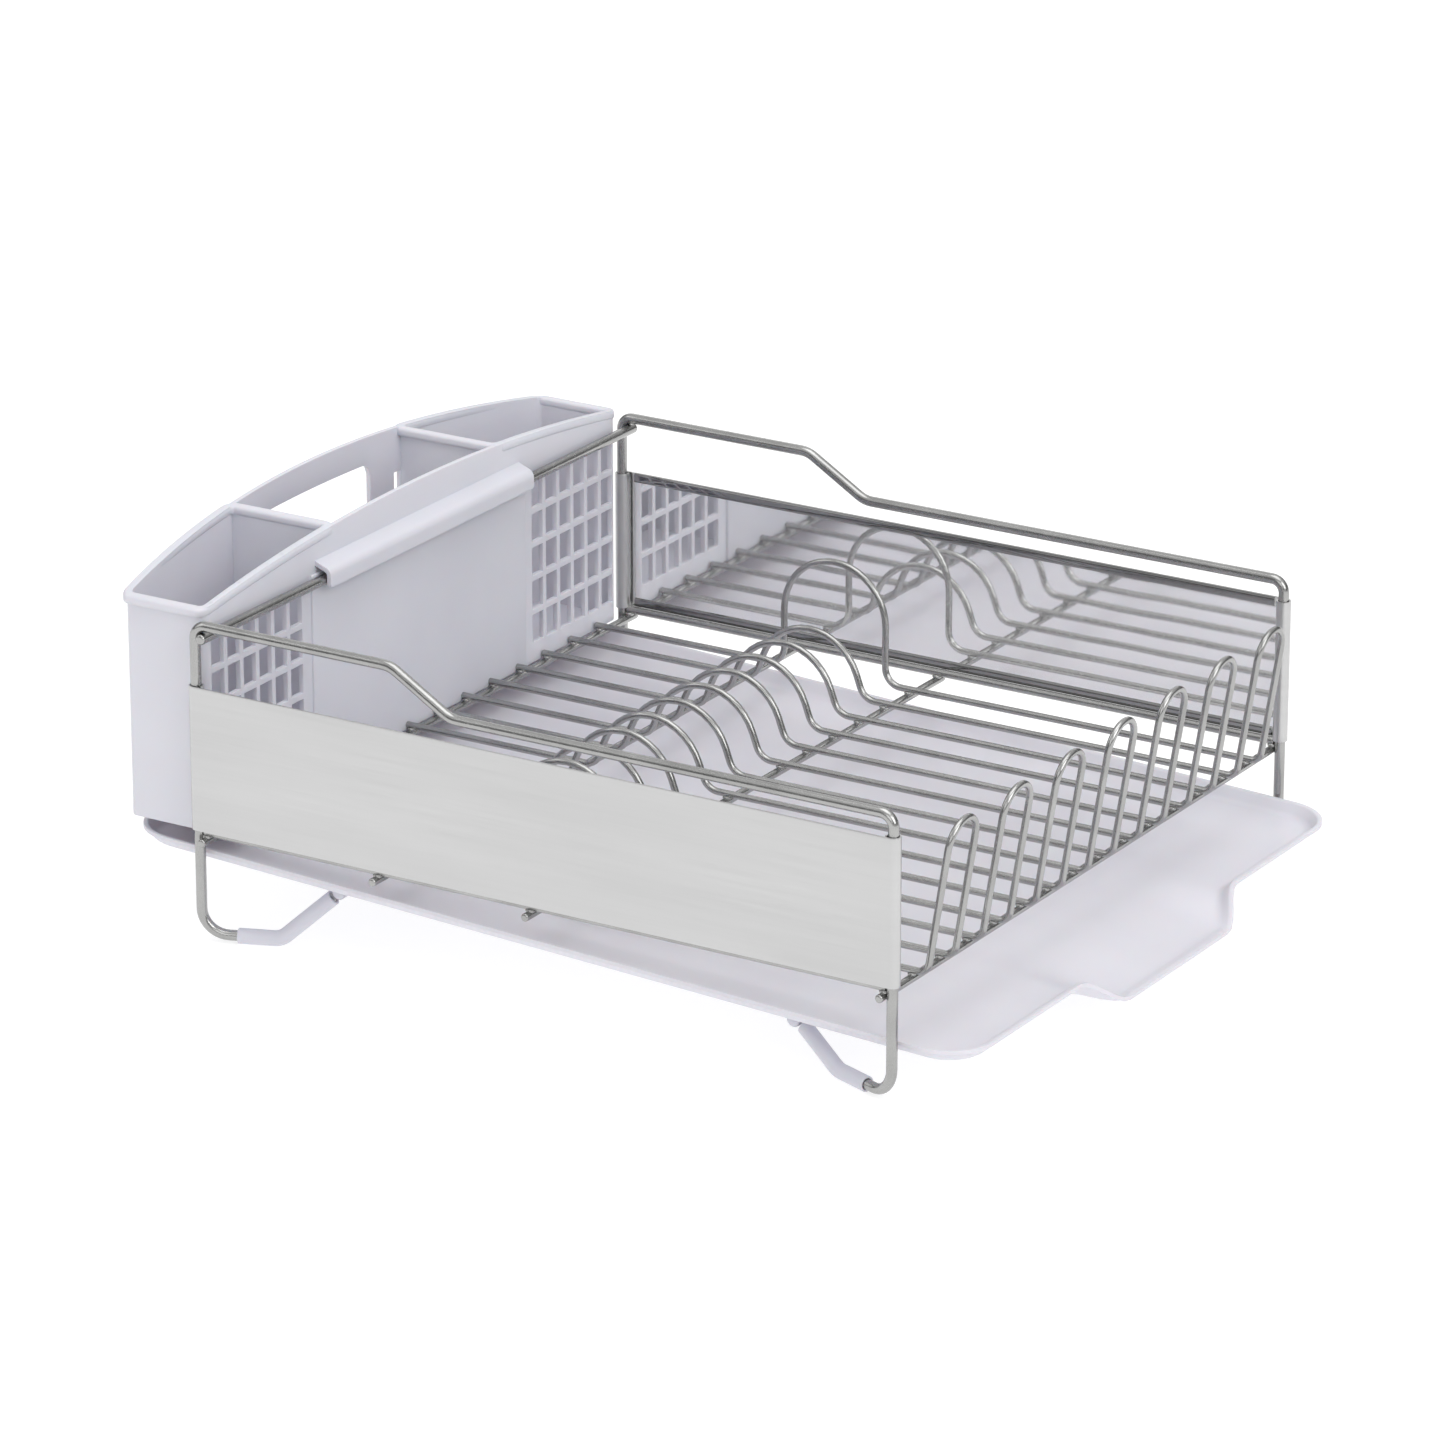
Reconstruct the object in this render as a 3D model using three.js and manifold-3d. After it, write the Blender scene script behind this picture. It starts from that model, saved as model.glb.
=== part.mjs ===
// Dish drying rack: two bent-wire side frames with sheet side panels, a floor of plate wires with
// humps and front loops, a cutlery caddy hung on the rear bar and a sloping drip tray with a spout.
// Millimetres, +Z up, +X from the caddy end toward the spout, +Y from the near side to the far side.
import * as THREE from 'three';
import { mergeGeometries, mergeVertices } from 'three/addons/utils/BufferGeometryUtils.js';
import Module from 'manifold-3d';

const wasm = await Module();
wasm.setup();

// ---- Driving sizes -------------------------------------------------------------------------
const RACK_LENGTH = 380;          // rear leg centre to front leg centre, along X
const RACK_WIDTH = 373;           // near leg centre to far leg centre, along Y
const REAR_RAIL_HEIGHT = 158.7;   // top rail centre above the floor, beside the caddy
const FRONT_RAIL_HEIGHT = 138.9;  // top rail centre above the floor, beside the plates
const FLOOR_WIRE_HEIGHT = 55.7;   // plate wire centre above the floor
const GAP = 0.3;                  // clearance kept between pieces that touch or rest on each other

// Wires
const FRAME_WIRE = 2.6;           // radius of the side frame and hanger bar wire
const RAIL_WIRE = 2.0;            // radius of the bottom rails and cross wires
const PLATE_WIRE = 1.7;           // radius of the plate wires
const FRAME_SIDES = 10;           // facets round a frame wire
const THIN_SIDES = 8;             // facets round a thin wire
const BEND_STEP = Math.PI / 8;    // largest turn between two sections of a bend

// Side frames
const TOP_BEND = 6.5;             // bend radius at the four top corners
const FOOT_BEND = 13;             // bend radius where a leg turns into its foot
const STEP_BEND = 14;             // bend radius at both ends of the slanted step in the top rail
const STEP_START = 110;           // where the top rail starts to step down, from the rear leg
const STEP_END = 143;             // where the step ends
const FOOT_HEADING = 21;          // degrees a foot turns inward from the rack's long direction
const FOOT_FLAT = 38.5;           // length of a foot lying along the floor, from the leg centre
const FOOT_RISE_BEND = 9;         // bend radius where a foot leaves the floor
const SLEEVE_START = 17.5;        // bare wire shown before the sleeve, from the leg centre
const SLEEVE_WALL = 1.1;          // plastic sleeve wall
const SLEEVE_TOP_GAP = 2.2;       // a sleeve's top end stops this far short of the support bar
const FOOT_WIRE_INSET = 0.6;      // the wire stops this far inside the top end of its sleeve

// Side panels
const SHEET = 0.7;                // sheet steel thickness
const PANEL_TOP = 128.9;          // upper edge of a panel
const PANEL_RISE = 1;             // lower edge of a panel above the bottom rail's centre
const PANEL_CURL = 20;            // degrees the sheet curls on past each leg's inner side
const HEM_HEIGHT = 5;             // folded hem along the upper and lower edges
const HEM_INSET = 6;              // hem starts this far from the leg centre

// Plate wires
const PLATE_WIRE_COUNT = 7;
const ROD_FIRST = 24.4;           // nearest rod from the near leg centre
const ROD_LAST = 28.54;           // farthest rod from the far leg centre
const ROD_START = 2.6;            // rear end of a rod, from the rear leg centre
const HUMP_CENTRE = 143;          // middle of the humps, from the rear leg centre
const HUMP_HEIGHT = 31.3;         // hump top above the rods
const HUMP_SPREAD = 31.5;         // half the distance between the feet of a hump
const HUMP_LEAN = 20;             // degrees a hump's sides lean inward
const TALL_HUMP_HEIGHT = 59;      // the farthest rod carries a taller loop
const TALL_HUMP_SPREAD = 29.3;
const HUMP_FOOT_BEND = 9;         // bend radius at a hump's feet
const LOOP_REACH = 3.9;           // loop feet ahead of the front leg centre
const LOOP_HEIGHT = 73.2;         // loop top above the rods
const LOOP_LEAN = 9.2;            // degrees a loop leans away from the plates
const LOOP_FOOT_BEND = 6;

// Cross wires under the plate wires
const CROSS_CLEAR = 0.6;          // space between an outer cross wire and the legs
const CROSS_MID_REAR = 102;       // inner cross wires, from the rear leg centre
const CROSS_MID_FRONT = 186.5;
const CROSS_OVERHANG = 5.5;       // length beyond the leg centres

// Hanger bar for the caddy
const HANGER_CLEAR = 0.7;         // space between the bar and the side frames' wire
const HANGER_OVERHANG = 3.5;

// Drip tray
const TRAY_SIDE_GAP = 4.4;        // leg centre to the tray lip
const TRAY_REAR = -48;            // rear edge of the lip, from the rear leg centre
const TRAY_FRONT_REACH = 34;      // front edge of the lip, ahead of the front leg centre
const TRAY_LIP_HEIGHT = 45.2;     // top of the lip above the floor at the rear legs
const TRAY_SLOPE = 2.45;          // degrees down toward the spout
const TRAY_DEPTH = 6.0;           // lip top to tray floor
const TRAY_SHEET = 1.8;           // floor thickness
const TRAY_LIP = 2.2;             // width of the flat top of the lip
const TRAY_FLARE = 4.5;           // the side walls lean out by this much
const TRAY_FOOT = 1;              // strip of floor that belongs to each side wall
const TRAY_CORNER = 24;           // corner radius of the lip
const SPOUT_HALF_TOP = 76;        // half width where the spout leaves the rim
const SPOUT_HALF_END = 48;        // half width at its outer edge
const SPOUT_REACH = 11.2;         // how far the spout stands out from the rim
const SPOUT_DROP = 13.2;          // how far its edge dips
const SPOUT_WALL = 1.2;           // lip left above the floor at the spout's edge
const SPOUT_RUN = 46;             // length of tray floor that falls toward the spout

// Tray support bars
const BAR_INSET = 65;             // bar centres from the leg centres, along X
const BAR_RADIUS = 3.7;
const BAR_SIDE_INSET = 20;        // bar ends from the leg centres, along Y

// Cutlery caddy
const CADDY_FRONT = 1;            // front face, from the rear leg centre
const CADDY_SIDE_INSET = 7;       // end walls from the leg centres
const CADDY_REAR_MIDDLE = -63;    // rear wall at the middle
const CADDY_REAR_BOW = 17.5;      // rear wall comes forward this much at the ends
const CADDY_BOTTOM = 52.8;
const CADDY_TOP_MIDDLE = 177.5;   // arched top edge at the middle
const CADDY_TOP_BOW = 13.3;       // top edge falls this much toward the ends
const CADDY_WALL = 2.6;
const CADDY_CORNER = 5;           // corner radius in plan
const CUP_LENGTH = 108;           // length of each end cup along Y
const RIM_OUT = 2.8;              // rim overhang round the end cups
const RIM_FRONT = 0.5;            // the rim stands only this far ahead of the front face
const RIM_HEIGHT = 4.6;
const BEAM_HEIGHT = 14.5;         // carrying beam above the hand opening
const GRIP_HALF = 47;             // half length of the hand opening
const GRIP_SILL = 128;            // lower edge of the hand opening
const GRIP_CORNER = 6;
const SIDE_SLOT_START = 66.2;     // narrow slots beside the end cups, from the middle
const SIDE_SLOT_TOP = 152.5;
const GRID_COLUMNS = 6;
const GRID_ROWS = 5;
const GRID_PITCH_Y = 12.9;
const GRID_PITCH_Z = 17.7;
const GRID_BAR = 2.8;             // plastic left between the grid's openings
const GRID_INSET = 4.4;           // first opening from the caddy's end
const GRID_BASE = 63;             // lower edge of the lowest openings
const HOOK_HALF = 89;             // half length of the lip that hangs on the bar
const HOOK_WALL = 2.4;
const HOOK_DROP = 3;              // the lip reaches this far below the bar centre
const PAD_THICKNESS = 1.2;        // plain middle of the front wall stands proud of the grids
const PAD_HALF = 93;

const WHITE_PLASTIC = 0xdfdfe8;
const STEEL = 0xb9b9b4;
const SHEET_STEEL = 0xd8d8d6;

// ---- Sizes that follow from those above -------------------------------------------------------
const sleeveRadius = FRAME_WIRE + GAP + SLEEVE_WALL;
const footHeight = sleeveRadius * Math.cos(Math.PI / FRAME_SIDES);
const crossHeight = FLOOR_WIRE_HEIGHT - PLATE_WIRE - RAIL_WIRE - GAP;
const railHeight = crossHeight + 2 * RAIL_WIRE + GAP;
const panelBottom = railHeight + PANEL_RISE;
const rodPitch = (RACK_WIDTH - ROD_FIRST - ROD_LAST) / (2 * PLATE_WIRE_COUNT - 1);
// Centre of the hanger bar, ahead of and below the rear top corners.
const hangerOffset = 2 * FRAME_WIRE + HANGER_CLEAR;
const trayFront = RACK_LENGTH + TRAY_FRONT_REACH;
const crossInset = FRAME_WIRE + RAIL_WIRE + CROSS_CLEAR;
const middle = RACK_WIDTH / 2;
const radians = THREE.MathUtils.degToRad;

// ---- Wires ------------------------------------------------------------------------------------

// A curve that passes through its points in order, one section at each point.
class WirePath extends THREE.Curve {
  constructor(points) {
    super();
    this.points = points;
  }

  getPoint(t, target = new THREE.Vector3()) {
    const last = this.points.length - 1;
    const place = Math.min(Math.max(t, 0), 1) * last;
    const i = Math.min(Math.floor(place), last - 1);
    return target.lerpVectors(this.points[i], this.points[i + 1], place - i);
  }

  getPointAt(u, target) {
    return this.getPoint(u, target);
  }

  getTangentAt(u, target = new THREE.Vector3()) {
    const last = this.points.length - 1;
    const i = Math.round(u * last);
    const before = this.points[Math.max(i - 1, 0)];
    const here = this.points[i];
    const after = this.points[Math.min(i + 1, last)];
    const incoming = here.clone().sub(before).normalize();
    const outgoing = after.clone().sub(here).normalize();
    return target.copy(incoming).add(outgoing).normalize();
  }
}

// A corner of a path: where the straight runs would meet, and the bend radius there.
function corner(x, y, z, radius = 0) {
  return { at: new THREE.Vector3(x, y, z), radius };
}

// The points of one rounded corner between the directions to its two neighbours.
function bendPoints(before, here, after) {
  const inward = before.at.clone().sub(here.at).normalize();
  const outward = after.at.clone().sub(here.at).normalize();
  const turn = Math.PI - inward.angleTo(outward);
  if (here.radius === 0 || turn < 0.01) {
    return [here.at];
  }
  const reach = here.radius * Math.tan(turn / 2);
  const start = here.at.clone().addScaledVector(inward, reach);
  const bisector = inward.clone().add(outward).normalize();
  const centre = here.at.clone().addScaledVector(bisector, here.radius / Math.cos(turn / 2));
  const axis = outward.clone().cross(inward).normalize();
  const arm = start.clone().sub(centre);
  const steps = Math.max(2, Math.ceil(turn / BEND_STEP));
  const points = [];
  for (let i = 0; i <= steps; i++) {
    points.push(centre.clone().add(arm.clone().applyAxisAngle(axis, (turn * i) / steps)));
  }
  return points;
}

// All the points of a path with its corners rounded.
function roundedPath(corners, closed = false) {
  const count = corners.length;
  const points = [];
  corners.forEach((here, i) => {
    const isEnd = !closed && (i === 0 || i === count - 1);
    if (isEnd) {
      points.push(here.at);
      return;
    }
    const before = corners[(i + count - 1) % count];
    const after = corners[(i + 1) % count];
    points.push(...bendPoints(before, here, after));
  });
  return points;
}

// A round section with flats square to the shape's own axes.
function roundSection(radius, sides) {
  const points = [];
  for (let i = 0; i < sides; i++) {
    const angle = ((i + 0.5) / sides) * 2 * Math.PI;
    points.push(new THREE.Vector2(radius * Math.cos(angle), radius * Math.sin(angle)));
  }
  return new THREE.Shape(points);
}

function sweep(section, points) {
  const geometry = new THREE.ExtrudeGeometry(section, {
    steps: points.length - 1,
    extrudePath: new WirePath(points),
    curveSegments: 1,
    bevelEnabled: false,
  });
  return geometry;
}

function wire(points, radius, sides) {
  return sweep(roundSection(radius, sides), points);
}

function straightAcross(x, z, radius, sides, start, end) {
  const geometry = new THREE.CylinderGeometry(radius, radius, end - start, sides);
  geometry.translate(x, (start + end) / 2, z);
  return geometry;
}

// ---- Drip tray heights ----------------------------------------------------------------------

const trayTurn = radians(TRAY_SLOPE);

// Height of the tray's underside at a distance from the rear leg.
function trayUnderside(x) {
  const drop = TRAY_DEPTH + TRAY_SHEET;
  return TRAY_LIP_HEIGHT - drop / Math.cos(trayTurn) - x * Math.tan(trayTurn);
}

function barHeight(x) {
  return trayUnderside(x) - (BAR_RADIUS + GAP) / Math.cos(trayTurn);
}

// ---- Side frames and feet ---------------------------------------------------------------------

// A foot from the leg: along the floor, then up to the tray support bar. Away is +1 from the rear
// leg and -1 from the front leg.
function footCorners(away, legX) {
  const heading = radians(FOOT_HEADING);
  const barX = legX + away * BAR_INSET;
  const run = BAR_INSET / Math.cos(heading) - FOOT_FLAT;
  const rise = barHeight(barX) - footHeight;
  const climb = Math.hypot(run, rise);
  const kept = (climb - BAR_RADIUS - SLEEVE_TOP_GAP) / climb;
  const place = (distance, height, radius) =>
    corner(
      legX + away * distance * Math.cos(heading),
      distance * Math.sin(heading),
      height,
      radius,
    );
  return {
    atLeg: place(0, footHeight, FOOT_BEND),
    sleeveStart: place(SLEEVE_START, footHeight, 0),
    lift: place(FOOT_FLAT, footHeight, FOOT_RISE_BEND),
    top: place(FOOT_FLAT + run * kept, footHeight + rise * kept, 0),
  };
}

// The wire ends a little inside the sleeve.
function wireEnd(foot) {
  const back = foot.lift.at.clone().sub(foot.top.at).setLength(FOOT_WIRE_INSET);
  const at = foot.top.at.clone().add(back);
  return { at, radius: 0 };
}

function sideFrame() {
  const rear = footCorners(1, 0);
  const front = footCorners(-1, RACK_LENGTH);
  const corners = [
    wireEnd(rear),
    rear.lift,
    rear.atLeg,
    corner(0, 0, REAR_RAIL_HEIGHT, TOP_BEND),
    corner(STEP_START, 0, REAR_RAIL_HEIGHT, STEP_BEND),
    corner(STEP_END, 0, FRONT_RAIL_HEIGHT, STEP_BEND),
    corner(RACK_LENGTH, 0, FRONT_RAIL_HEIGHT, TOP_BEND),
    front.atLeg,
    front.lift,
    wireEnd(front),
  ];
  return wire(roundedPath(corners), FRAME_WIRE, FRAME_SIDES);
}

function footSleeve(away, legX) {
  const foot = footCorners(away, legX);
  const section = roundSection(sleeveRadius, FRAME_SIDES);
  section.holes.push(roundSection(FRAME_WIRE + GAP, FRAME_SIDES));
  return sweep(section, roundedPath([foot.sleeveStart, foot.lift, foot.top]));
}

// The rail stops short of the panel's curls, which reach a little below its top.
function bottomRail() {
  const clear = FRAME_WIRE + SHEET + 2 * GAP;
  const geometry = new THREE.CylinderGeometry(
    RAIL_WIRE, RAIL_WIRE, RACK_LENGTH - 2 * clear, THIN_SIDES,
  );
  geometry.rotateZ(Math.PI / 2);
  geometry.translate(RACK_LENGTH / 2, 0, railHeight);
  return geometry;
}

// ---- Side panel ---------------------------------------------------------------------------------

function curl(centreX, radius, from, to) {
  const points = [];
  const steps = 14;
  for (let i = 0; i <= steps; i++) {
    const angle = from + ((to - from) * i) / steps;
    points.push(new THREE.Vector2(centreX + radius * Math.cos(angle), radius * Math.sin(angle)));
  }
  return points;
}

// Sheet curled round both legs, with a folded hem inside its upper and lower edges.
function sidePanel() {
  const inner = FRAME_WIRE + GAP;
  const outer = inner + SHEET;
  const flat = 1.5 * Math.PI;
  const end = -radians(PANEL_CURL);
  const outline = [
    ...curl(0, outer, end, flat),
    ...curl(RACK_LENGTH, outer, flat - 2 * Math.PI, Math.PI - end),
    ...curl(RACK_LENGTH, inner, Math.PI - end, flat - 2 * Math.PI),
    ...curl(0, inner, flat, end),
  ];
  const height = PANEL_TOP - panelBottom;
  const sheet = new THREE.ExtrudeGeometry(new THREE.Shape(outline), {
    depth: height,
    bevelEnabled: false,
  });
  sheet.translate(0, 0, panelBottom);
  const hem = (bottom) => {
    const strip = new THREE.BoxGeometry(RACK_LENGTH - 2 * HEM_INSET, 2 * SHEET, HEM_HEIGHT);
    strip.translate(RACK_LENGTH / 2, -inner, bottom + HEM_HEIGHT / 2);
    return strip;
  };
  return join([sheet, hem(panelBottom), hem(PANEL_TOP - HEM_HEIGHT)]);
}

// ---- Plate wires --------------------------------------------------------------------------------

// Corners of one hump from its rear foot to its front foot. The top is one arc tangent to both
// leaning sides, so its radius follows from the height, the spread and the lean.
function humpPoints(y, height, spread, lean) {
  const sine = Math.sin(radians(lean));
  const cosine = Math.cos(radians(lean));
  const radius = (spread * cosine - height * sine) / (1 - sine);
  const centreZ = FLOOR_WIRE_HEIGHT + height - radius;
  const arc = [];
  const half = Math.PI / 2 - radians(lean);
  const steps = Math.ceil((2 * half) / (BEND_STEP * 1.1));
  for (let i = 0; i <= steps; i++) {
    const angle = -half + (2 * half * i) / steps;
    arc.push(corner(
      HUMP_CENTRE + radius * Math.sin(angle), y, centreZ + radius * Math.cos(angle),
    ));
  }
  return [
    corner(HUMP_CENTRE - spread, y, FLOOR_WIRE_HEIGHT, HUMP_FOOT_BEND),
    ...arc,
    corner(HUMP_CENTRE + spread, y, FLOOR_WIRE_HEIGHT, HUMP_FOOT_BEND),
  ];
}

// One plate wire: rod, hump, front loop, and back along the next rod.
function plateWire(index) {
  const near = ROD_FIRST + 2 * index * rodPitch;
  const far = near + rodPitch;
  const isLast = index === PLATE_WIRE_COUNT - 1;
  const lean = radians(LOOP_LEAN);
  const frontX = RACK_LENGTH + LOOP_REACH;
  const arch = rodPitch / 2;
  const shoulder = LOOP_HEIGHT - arch * Math.cos(lean);
  const onLoop = (y, along) => corner(
    frontX + (shoulder + along * Math.cos(lean)) * Math.tan(lean),
    y,
    FLOOR_WIRE_HEIGHT + shoulder + along * Math.cos(lean),
  );
  const steps = 7;
  const loop = [];
  for (let i = 0; i <= steps; i++) {
    const angle = (Math.PI * i) / steps;
    loop.push(onLoop(near + arch * (1 - Math.cos(angle)), arch * Math.sin(angle)));
  }
  const rod = (y, isTall) => [
    corner(ROD_START, y, FLOOR_WIRE_HEIGHT),
    ...(isTall
      ? humpPoints(y, TALL_HUMP_HEIGHT, TALL_HUMP_SPREAD, 0)
      : humpPoints(y, HUMP_HEIGHT, HUMP_SPREAD, HUMP_LEAN)),
    corner(frontX, y, FLOOR_WIRE_HEIGHT, LOOP_FOOT_BEND),
  ];
  const corners = [...rod(near, false), ...loop, ...rod(far, isLast).reverse()];
  return wire(roundedPath(corners), PLATE_WIRE, THIN_SIDES);
}

// ---- Booleans -----------------------------------------------------------------------------------

function toSolid(geometry) {
  const bare = new THREE.BufferGeometry();
  bare.setAttribute('position', geometry.getAttribute('position'));
  if (geometry.index) {
    bare.setIndex(geometry.index);
  }
  const merged = mergeVertices(bare, 1e-4);
  return new wasm.Manifold(new wasm.Mesh({
    numProp: 3,
    vertProperties: new Float32Array(merged.getAttribute('position').array),
    triVerts: new Uint32Array(merged.index.array),
  }));
}

function toGeometry(solid) {
  const mesh = solid.getMesh();
  const geometry = new THREE.BufferGeometry();
  geometry.setAttribute('position', new THREE.BufferAttribute(mesh.vertProperties, 3));
  geometry.setIndex(new THREE.BufferAttribute(mesh.triVerts, 1));
  geometry.computeVertexNormals();
  return geometry;
}

function join(geometries) {
  let solid = toSolid(geometries[0]);
  for (const geometry of geometries.slice(1)) {
    solid = solid.add(toSolid(geometry));
  }
  return toGeometry(solid);
}

// ---- Cutlery caddy --------------------------------------------------------------------------------

// A share of the full bow at a distance along the caddy: 0 at the middle, 1 at the ends.
function bowShare(y) {
  const half = middle - CADDY_SIDE_INSET;
  return ((y - middle) / half) ** 2;
}

function rearWall(y) {
  return CADDY_REAR_MIDDLE + CADDY_REAR_BOW * bowShare(y);
}

function topEdge(y) {
  return CADDY_TOP_MIDDLE - CADDY_TOP_BOW * bowShare(y);
}

function prism(shape, height) {
  return new THREE.ExtrudeGeometry(shape, { depth: height, bevelEnabled: false });
}

// A vertical block of the caddy's plan between two positions along Y, inset from rear and front.
function planBlock(start, end, inset, bottom, top, frontInset = inset) {
  const corners = [
    corner(CADDY_FRONT - frontInset, start, 0, CADDY_CORNER),
    corner(CADDY_FRONT - frontInset, end, 0, CADDY_CORNER),
  ];
  const steps = Math.ceil((end - start) / 24);
  for (let i = 0; i <= steps; i++) {
    const y = end + ((start - end) * i) / steps;
    const isCorner = i === 0 || i === steps;
    corners.push(corner(rearWall(y) + inset, y, 0, isCorner ? CADDY_CORNER : 0));
  }
  const points = roundedPath(corners, true).map((p) => new THREE.Vector2(p.x, p.y));
  const block = prism(new THREE.Shape(points), top - bottom);
  block.translate(0, 0, bottom);
  return toSolid(block);
}

// Everything below the arched top edge, lowered by a given amount.
function underArch(lowered) {
  const reach = 20;
  const shape = [new THREE.Vector2(-reach, 0)];
  const steps = 24;
  for (let i = 0; i <= steps; i++) {
    const y = CADDY_SIDE_INSET + ((RACK_WIDTH - 2 * CADDY_SIDE_INSET) * i) / steps;
    if (i === 0) {
      shape.push(new THREE.Vector2(-reach, topEdge(y) - lowered));
    }
    shape.push(new THREE.Vector2(y, topEdge(y) - lowered));
    if (i === steps) {
      shape.push(new THREE.Vector2(RACK_WIDTH + reach, topEdge(y) - lowered));
    }
  }
  shape.push(new THREE.Vector2(RACK_WIDTH + reach, 0));
  return alongX(shape, CADDY_REAR_MIDDLE - reach, CADDY_FRONT + reach);
}

// A profile given as (Y, Z) points, drawn out along X.
function alongX(points, start, end) {
  const block = prism(new THREE.Shape(points), end - start);
  block.rotateX(Math.PI / 2);
  block.rotateZ(Math.PI / 2);
  block.translate(start, 0, 0);
  return toSolid(block);
}

function rearOpening(corners) {
  const points = roundedPath(corners, true).map((p) => new THREE.Vector2(p.x, p.y));
  return alongX(points, CADDY_REAR_MIDDLE - 5, CADDY_REAR_MIDDLE + 15);
}

// The hand opening: its upper edge follows the arch.
function gripOpening() {
  const steps = 6;
  const corners = [
    corner(middle - GRIP_HALF, GRIP_SILL, 0, GRIP_CORNER),
    corner(middle + GRIP_HALF, GRIP_SILL, 0, GRIP_CORNER),
  ];
  for (let i = 0; i <= steps; i++) {
    const y = middle + GRIP_HALF - (2 * GRIP_HALF * i) / steps;
    const isCorner = i === 0 || i === steps;
    corners.push(corner(y, topEdge(y) - BEAM_HEIGHT, 0, isCorner ? GRIP_CORNER : 0));
  }
  return rearOpening(corners);
}

// A narrow slot between the carrying post and an end cup. Side is -1 near, +1 far.
function sideSlot(side, cupFace) {
  const start = middle + side * SIDE_SLOT_START;
  const low = Math.min(start, cupFace);
  const high = Math.max(start, cupFace);
  return rearOpening([
    corner(low, GRIP_SILL, 0),
    corner(high, GRIP_SILL, 0),
    corner(high, SIDE_SLOT_TOP, 0),
    corner(low, SIDE_SLOT_TOP, 0),
  ]);
}

// Rectangular openings in the front wall of both end cups.
function gridOpenings() {
  const holes = [];
  const width = GRID_PITCH_Y - GRID_BAR;
  const height = GRID_PITCH_Z - GRID_BAR;
  for (let column = 0; column < GRID_COLUMNS; column++) {
    const fromEnd = CADDY_SIDE_INSET + GRID_INSET + column * GRID_PITCH_Y + width / 2;
    for (const y of [fromEnd, RACK_WIDTH - fromEnd]) {
      for (let row = 0; row < GRID_ROWS; row++) {
        const hole = new THREE.BoxGeometry(3 * CADDY_WALL, width, height);
        hole.translate(CADDY_FRONT, y, GRID_BASE + row * GRID_PITCH_Z + height / 2);
        holes.push(hole);
      }
    }
  }
  return toSolid(mergeGeometries(holes));
}

// The plain middle of the front wall.
function frontPad() {
  const top = REAR_RAIL_HEIGHT - hangerOffset + FRAME_WIRE + GAP;
  const height = top - CADDY_BOTTOM;
  const pad = new THREE.BoxGeometry(PAD_THICKNESS + CADDY_WALL / 2, 2 * PAD_HALF, height);
  const x = CADDY_FRONT + PAD_THICKNESS - (PAD_THICKNESS + CADDY_WALL / 2) / 2;
  pad.translate(x, middle, CADDY_BOTTOM + height / 2);
  return toSolid(pad);
}

// The lip over the hanger bar, given as an (X, Z) outline drawn along Y.
function hangerLip() {
  const barZ = REAR_RAIL_HEIGHT - hangerOffset;
  const clear = FRAME_WIRE + GAP;
  const root = CADDY_FRONT - CADDY_WALL / 2;
  const inside = hangerOffset + clear;
  const outside = inside + HOOK_WALL;
  const ceiling = barZ + clear;
  const points = [
    [root, ceiling],
    [inside, ceiling],
    [inside, barZ - HOOK_DROP],
    [outside, barZ - HOOK_DROP],
    [outside, ceiling + HOOK_WALL * 0.5],
    [outside - HOOK_WALL * 0.6, ceiling + HOOK_WALL * 1.2],
    [CADDY_FRONT, ceiling + HOOK_WALL * 2.4],
    [root, ceiling + HOOK_WALL * 2.4],
  ];
  const outline = points.map(([x, z]) => new THREE.Vector2(x, z));
  const block = prism(new THREE.Shape(outline), 2 * HOOK_HALF);
  block.rotateX(Math.PI / 2);
  block.translate(0, middle + HOOK_HALF, 0);
  return toSolid(block);
}

function cutleryCaddy() {
  const start = CADDY_SIDE_INSET;
  const end = RACK_WIDTH - CADDY_SIDE_INSET;
  const nearCup = start + CUP_LENGTH;
  const farCup = end - CUP_LENGTH;
  const high = CADDY_TOP_MIDDLE + 10;
  const floorTop = CADDY_BOTTOM + CADDY_WALL;
  const belowTop = underArch(0);
  let body = planBlock(start, end, 0, CADDY_BOTTOM, high).intersect(belowTop);
  const rimBase = CADDY_TOP_MIDDLE - CADDY_TOP_BOW - RIM_HEIGHT - 5;
  for (const [from, to] of [[start, nearCup], [farCup, end]]) {
    const band = planBlock(from - RIM_OUT, to + RIM_OUT, -RIM_OUT, rimBase, high, -RIM_FRONT)
      .intersect(belowTop)
      .subtract(underArch(RIM_HEIGHT));
    body = body.add(band);
  }
  const pockets = [
    [start + CADDY_WALL, nearCup - CADDY_WALL],
    [nearCup, farCup],
    [farCup + CADDY_WALL, end - CADDY_WALL],
  ];
  for (const [from, to] of pockets) {
    body = body.subtract(planBlock(from, to, CADDY_WALL, floorTop, high));
  }
  body = body
    .subtract(gripOpening())
    .subtract(sideSlot(-1, nearCup))
    .subtract(sideSlot(1, farCup))
    .subtract(gridOpenings())
    .add(frontPad())
    .add(hangerLip());
  return toGeometry(body);
}

// ---- Drip tray --------------------------------------------------------------------------------------

// How strongly the spout acts at a position along Y: 1 in its middle, 0 beside it.
function spoutShare(y) {
  const away = Math.abs(y - middle);
  const share = (SPOUT_HALF_TOP - away) / (SPOUT_HALF_TOP - SPOUT_HALF_END);
  return THREE.MathUtils.smoothstep(share, 0, 1);
}

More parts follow.
